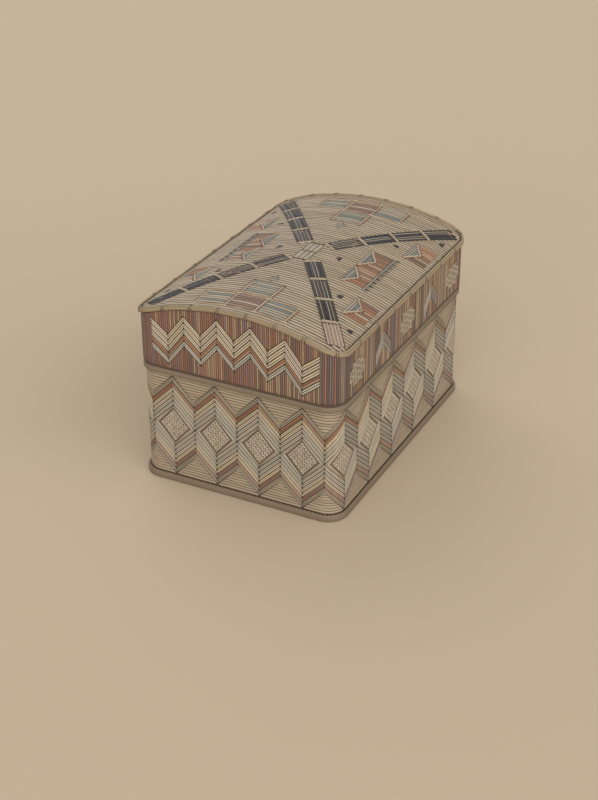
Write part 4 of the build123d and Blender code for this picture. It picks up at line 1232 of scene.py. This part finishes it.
def hoop(name, body, node, surface, girth, half_wide, half_tall, pitch, slant, material, seam=None):
    """Whipped root hoop: a rounded section carried round the box, grooved along slanting lines.

    The section's reach shrinks by a groove wherever the girth in wraps plus slant times the sine of
    the angle round it is a whole number. A seam is a groove along the hoop at an angle of the
    section, where two roots lie side by side.
    """
    along = np.linspace(0, girth, HOOP_SAMPLES, endpoint=False)[:, None]
    angle = -np.linspace(0, 2 * np.pi, HOOP_AROUND, endpoint=False)[None]
    phase = np.mod(along / girth * round(girth / pitch) + slant * np.sin(angle), 1)
    from_groove = np.minimum(phase, 1 - phase)
    deep, wide = WRAP_GROOVE
    groove = deep * np.exp(-np.square(from_groove / wide))
    swell = 1 - groove - WRAP_SWELL * np.square(2 * from_groove - 1)
    # Distance to the nearest groove, in mm: the root material paints shade near it
    depth = from_groove * pitch
    if seam is not None:
        from_seam = np.abs(np.mod(angle - seam + np.pi, 2 * np.pi) - np.pi) * half_tall
        deep, wide = SEAM_GROOVE
        swell = swell - deep * np.exp(-np.square(from_seam / wide))
        depth = np.minimum(depth, from_seam)
    out, up = section(half_wide, half_tall, angle)
    points = surface(along + 0 * angle, out * swell, up * swell)
    index = np.arange(depth.size).reshape(depth.shape)
    ahead, turned = np.roll(index, -1, axis=0), np.roll(index, -1, axis=1)
    faces = np.stack([index, turned, np.roll(ahead, -1, axis=1), ahead], -1).reshape(-1, 4)
    uv = np.stack(np.broadcast_arrays(along, angle), -1)
    mesh_object(name, body, node, points, [faces], uv, {"tip": depth}, [material])


class QUILLBOX_OT_root_hoops(bpy.types.Operator):
    """Wind the root hoops round the foot and the mouth of the wall."""

    bl_idname = "quillbox.root_hoops"
    bl_label = "Root hoops"

    def execute(self, context):
        self.wind("base_rim", root_material("smoked_spruce_root", "#57493b #74634f #8b7963"))
        self.wind("upper_rim", root_material("brown_spruce_root", "#564a3c #746652 #8a7b64"))
        return {"FINISHED"}

    def wind(self, node, material):
        """A hoop as tall as a frame node, from the bark to the node's outer side."""
        low, high = node_box(node)
        back = WALL_HALF[0] - LAYER + ROOT_PLAY
        radius = (high[0] + back) / 2 - FLAT_HALF[0]

        def around_wall(girth, out, up):
            """Out from and up over the middle line of the hoop."""
            x, y = plan_point(girth, radius, radius + out)
            return np.stack([x, y, (low[2] + high[2]) / 2 + up], -1)

        hoop(f"{node}_whipping", "box", node, around_wall, plan_knots(radius)[-1],
             (high[0] - back) / 2, (high[2] - low[2]) / 2, size("wrap_pitch"), HOOP_SLANT, material)


class QUILLBOX_OT_lid_edging(bpy.types.Operator):
    """Lay the root along the lid's top edge and lash it down."""

    bl_idname = "quillbox.lid_edging"
    bl_label = "Lid edging"

    def execute(self, context):
        peeled = root_material("peeled_spruce_root", "#6f5f47 #8d7b5f #a08f70")
        back = FIELD_HALF[0] + ROOT_PLAY
        radius = (BINDING_HIGH[0] + back) / 2 - FLAT_HALF[0]
        half_wide = (BINDING_HIGH[0] - back) / 2
        half_tall = (BINDING_DEPTH + BINDING_ABOVE) / 2 - 0.05
        depth = half_tall - BINDING_ABOVE

        def along_edge(girth, out, up):
            """Along the vault's edge: out from the band, and up square to the vault."""
            x, y = plan_point(girth, radius, radius + out)
            reach = VAULT_RADIUS - depth + up
            return np.stack([x, y, VAULT_AXIS + np.sqrt(reach ** 2 - y ** 2)], -1)

        def over_root(girth, angle, height):
            """Round the root's section by angle, at a height over it."""
            over = 0.6 * height
            return along_edge(girth, *section(half_wide + over, half_tall + over, angle))

        hoop("lid_edge_root", "lid", "lid_edge_binding", along_edge, plan_knots(radius)[-1],
             half_wide, half_tall, EDGE_PITCH, EDGE_SLANT, peeled, EDGE_SEAM)
        self.lashings(over_root, radius, peeled)
        return {"FINISHED"}

    def lashings(self, over_root, radius, peeled):
        """Lashings: a light and two dark splints that cross, from inner top to outer foot."""
        # The two dark splints are painted shade along the light splint's edges
        smoked = root_material("dark_root_splint", "#3a3027 #4d4033 #5f5040")
        rng = np.random.default_rng(91)
        knots = plan_knots(radius)
        spots = [side_middle(side, radius) + 2 * FLAT_HALF[side % 2] * (
            (np.arange(count) + 0.5) / count - 0.5) for side, count in enumerate(LASHINGS)]
        at_corners = [0.0, *((knots[i] + knots[i + 1]) / 2 for i in (2, 4, 6))]
        spots = np.concatenate([*spots, at_corners])
        lean = np.tile(SPLINT_LEANS, len(spots))
        dark = np.tile(SPLINT_KINDS, len(spots))
        spots = np.repeat(spots, len(SPLINT_LEANS))
        lean = lean + 0.5 * rng.random(len(spots))
        half = SPLINT_HALF[dark]
        corners = quads((spots - half + lean, SPLINT_START), (spots - half - lean, SPLINT_END),
                        (spots + half + lean, SPLINT_START), (spots + half - lean, SPLINT_END))
        quillwork("lid_edge_stitches", "split_root", corners, rng.random(len(spots)),
                  [peeled, smoked], over_root, kinds=dark, name="lid_edge_lashings", count=9,
                  gap=0.0, tip_gap=0.0, seed=92)


class QUILLBOX_OT_bark_sheets(bpy.types.Operator):
    """Give the frame's bark sheets, board, pegs and lap stitches their finishes."""

    bl_idname = "quillbox.bark_sheets"
    bl_label = "Bark sheets"

    def execute(self, context):
        # The outer bark shows only between quills and in bare strips: its brown is partly its own
        # tone and partly painted shade in those gaps
        dark = bark_material("dark_birch_bark_painted_shade", "#3f3227 #4b3b2e #574636")
        inner = bark_material("birch_bark_inner_face", "#8a6543 #a67f58 #b8926a")
        stitch = bark_material("dry_root_stitch", "#8f7a55 #ab9569 #bba67c", 0.6)
        finishes = {
            dark: ("outer_wall", "lid_band", "lid_top"),
            inner: ("inner_liner", "lid_band_lining", "lid_top_lining"),
            pine_material(): ("base_board", "base_pegs"),
            stitch: ("liner_stitches",),
        }
        for material, names in finishes.items():
            for name in names:
                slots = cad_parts[name].data.materials
                slots.clear()
                slots.append(material)
        return {"FINISHED"}


# Stage, in metres: lamps by place and strength, and the camera at the picture's angle

FLOOR_HALF = 12.0
LAMPS = {
    "end_lamp": ((-1.75, -0.45, 0.95), 1.9),
    "side_lamp": ((-0.4, -1.8, 0.95), 1.45),
    "back_lamp": ((1.2, 1.5, 1.3), 0.8),
}
LAMP_SPREAD = np.radians(60)
LAMP_AIM = Vector((0, 0, 0.07))
SKY = (1.0, 0.98, 0.95, 1)
SKY_STRENGTH = 0.55
AZIMUTH, ELEVATION = np.radians((-63.46, 27.27))
CAMERA_AIM = Vector((0, 0, 0.0671))
CAMERA_DISTANCE = 1.0826
LENS = 67.94
SHIFT = (-0.01235, -0.0689)


class QUILLBOX_OT_stage(bpy.types.Operator):
    """Set the floor, the lamps, the world and the camera."""

    bl_idname = "quillbox.stage"
    bl_label = "Stage"

    def execute(self, context):
        scene = context.scene
        matt, tree = new_material("matt_floor", 0.9, 1.45)
        tree.nodes[SHADER].inputs["Base Color"].default_value = (*colours().floor, 1)
        mesh = bpy.data.meshes.new("floor")
        around = ((-1, -1), (1, -1), (1, 1), (-1, 1))
        corners = [(x * FLOOR_HALF, y * FLOOR_HALF, 0) for x, y in around]
        mesh.from_pydata(corners, [], [(0, 1, 2, 3)])
        mesh.materials.append(matt)
        floor = bpy.data.objects.new("floor", mesh)
        scene.collection.objects.link(floor)
        for name, (place, strength) in LAMPS.items():
            data = bpy.data.lights.new(name, "SUN")
            data.angle = LAMP_SPREAD
            data.energy = strength
            self.aim(scene, data, Vector(place), LAMP_AIM - Vector(place))
        world = bpy.data.worlds.new("studio")
        world.use_nodes = True
        sky = world.node_tree.nodes["Background"]
        sky.inputs["Color"].default_value = SKY
        sky.inputs["Strength"].default_value = SKY_STRENGTH
        scene.world = world
        level = Vector((np.sin(AZIMUTH), -np.cos(AZIMUTH), 0))
        back = level * np.cos(ELEVATION) + Vector((0, 0, np.sin(ELEVATION)))
        data = bpy.data.cameras.new("camera")
        data.lens = LENS
        # The shift places the box in the view as the picture does
        data.shift_x, data.shift_y = SHIFT
        scene.camera = self.aim(scene, data, CAMERA_AIM + back * CAMERA_DISTANCE, -back)
        scene.view_settings.view_transform = "Standard"
        return {"FINISHED"}

    def aim(self, scene, data, place, direction):
        """Lamp or camera at a place, looking in a direction."""
        made = bpy.data.objects.new(data.name, data)
        made.location = place
        made.rotation_euler = direction.to_track_quat("-Z", "Y").to_euler()
        scene.collection.objects.link(made)
        return made


OPERATORS = (
    QUILLBOX_OT_bark_sheets,
    QUILLBOX_OT_wall_zigzags,
    QUILLBOX_OT_wall_diamonds,
    QUILLBOX_OT_lid_ends,
    QUILLBOX_OT_lid_corners,
    QUILLBOX_OT_lid_sides,
    QUILLBOX_OT_vault_field,
    QUILLBOX_OT_vault_blocks,
    QUILLBOX_OT_vault_cross,
    QUILLBOX_OT_seam_knots,
    QUILLBOX_OT_root_hoops,
    QUILLBOX_OT_lid_edging,
    QUILLBOX_OT_stage,
)


class QUILLBOX_PT_panel(bpy.types.Panel):
    """Lists the sizes, the colours and the operators."""

    bl_idname = "QUILLBOX_PT_panel"
    bl_label = "Quilled Box"
    bl_space_type = "VIEW_3D"
    bl_region_type = "UI"
    bl_category = "Quilled Box"

    def draw(self, context):
        column = self.layout.column()
        for group in (context.scene.quillbox_sizes, context.scene.quillbox_colours):
            for key in group.__annotations__:
                column.prop(group, key)
        for operator in OPERATORS:
            column.operator(operator.bl_idname)


CLASSES = (QUILLBOX_PG_sizes, QUILLBOX_PG_colours, *OPERATORS, QUILLBOX_PT_panel)


def register():
    """Register the classes and hang the settings on the scene."""
    for cls in CLASSES:
        bpy.utils.register_class(cls)
    bpy.types.Scene.quillbox_sizes = bpy.props.PointerProperty(type=QUILLBOX_PG_sizes)
    bpy.types.Scene.quillbox_colours = bpy.props.PointerProperty(type=QUILLBOX_PG_colours)


def unregister():
    """Take the settings off the scene and unregister the classes."""
    del bpy.types.Scene.quillbox_colours
    del bpy.types.Scene.quillbox_sizes
    for cls in reversed(CLASSES):
        bpy.utils.unregister_class(cls)


def main():
    """Build every piece in order, in metres."""
    register()
    for operator in OPERATORS:
        group, name = operator.bl_idname.split(".")
        getattr(getattr(bpy.ops, group), name)()


if __name__ == "__main__":
    main()
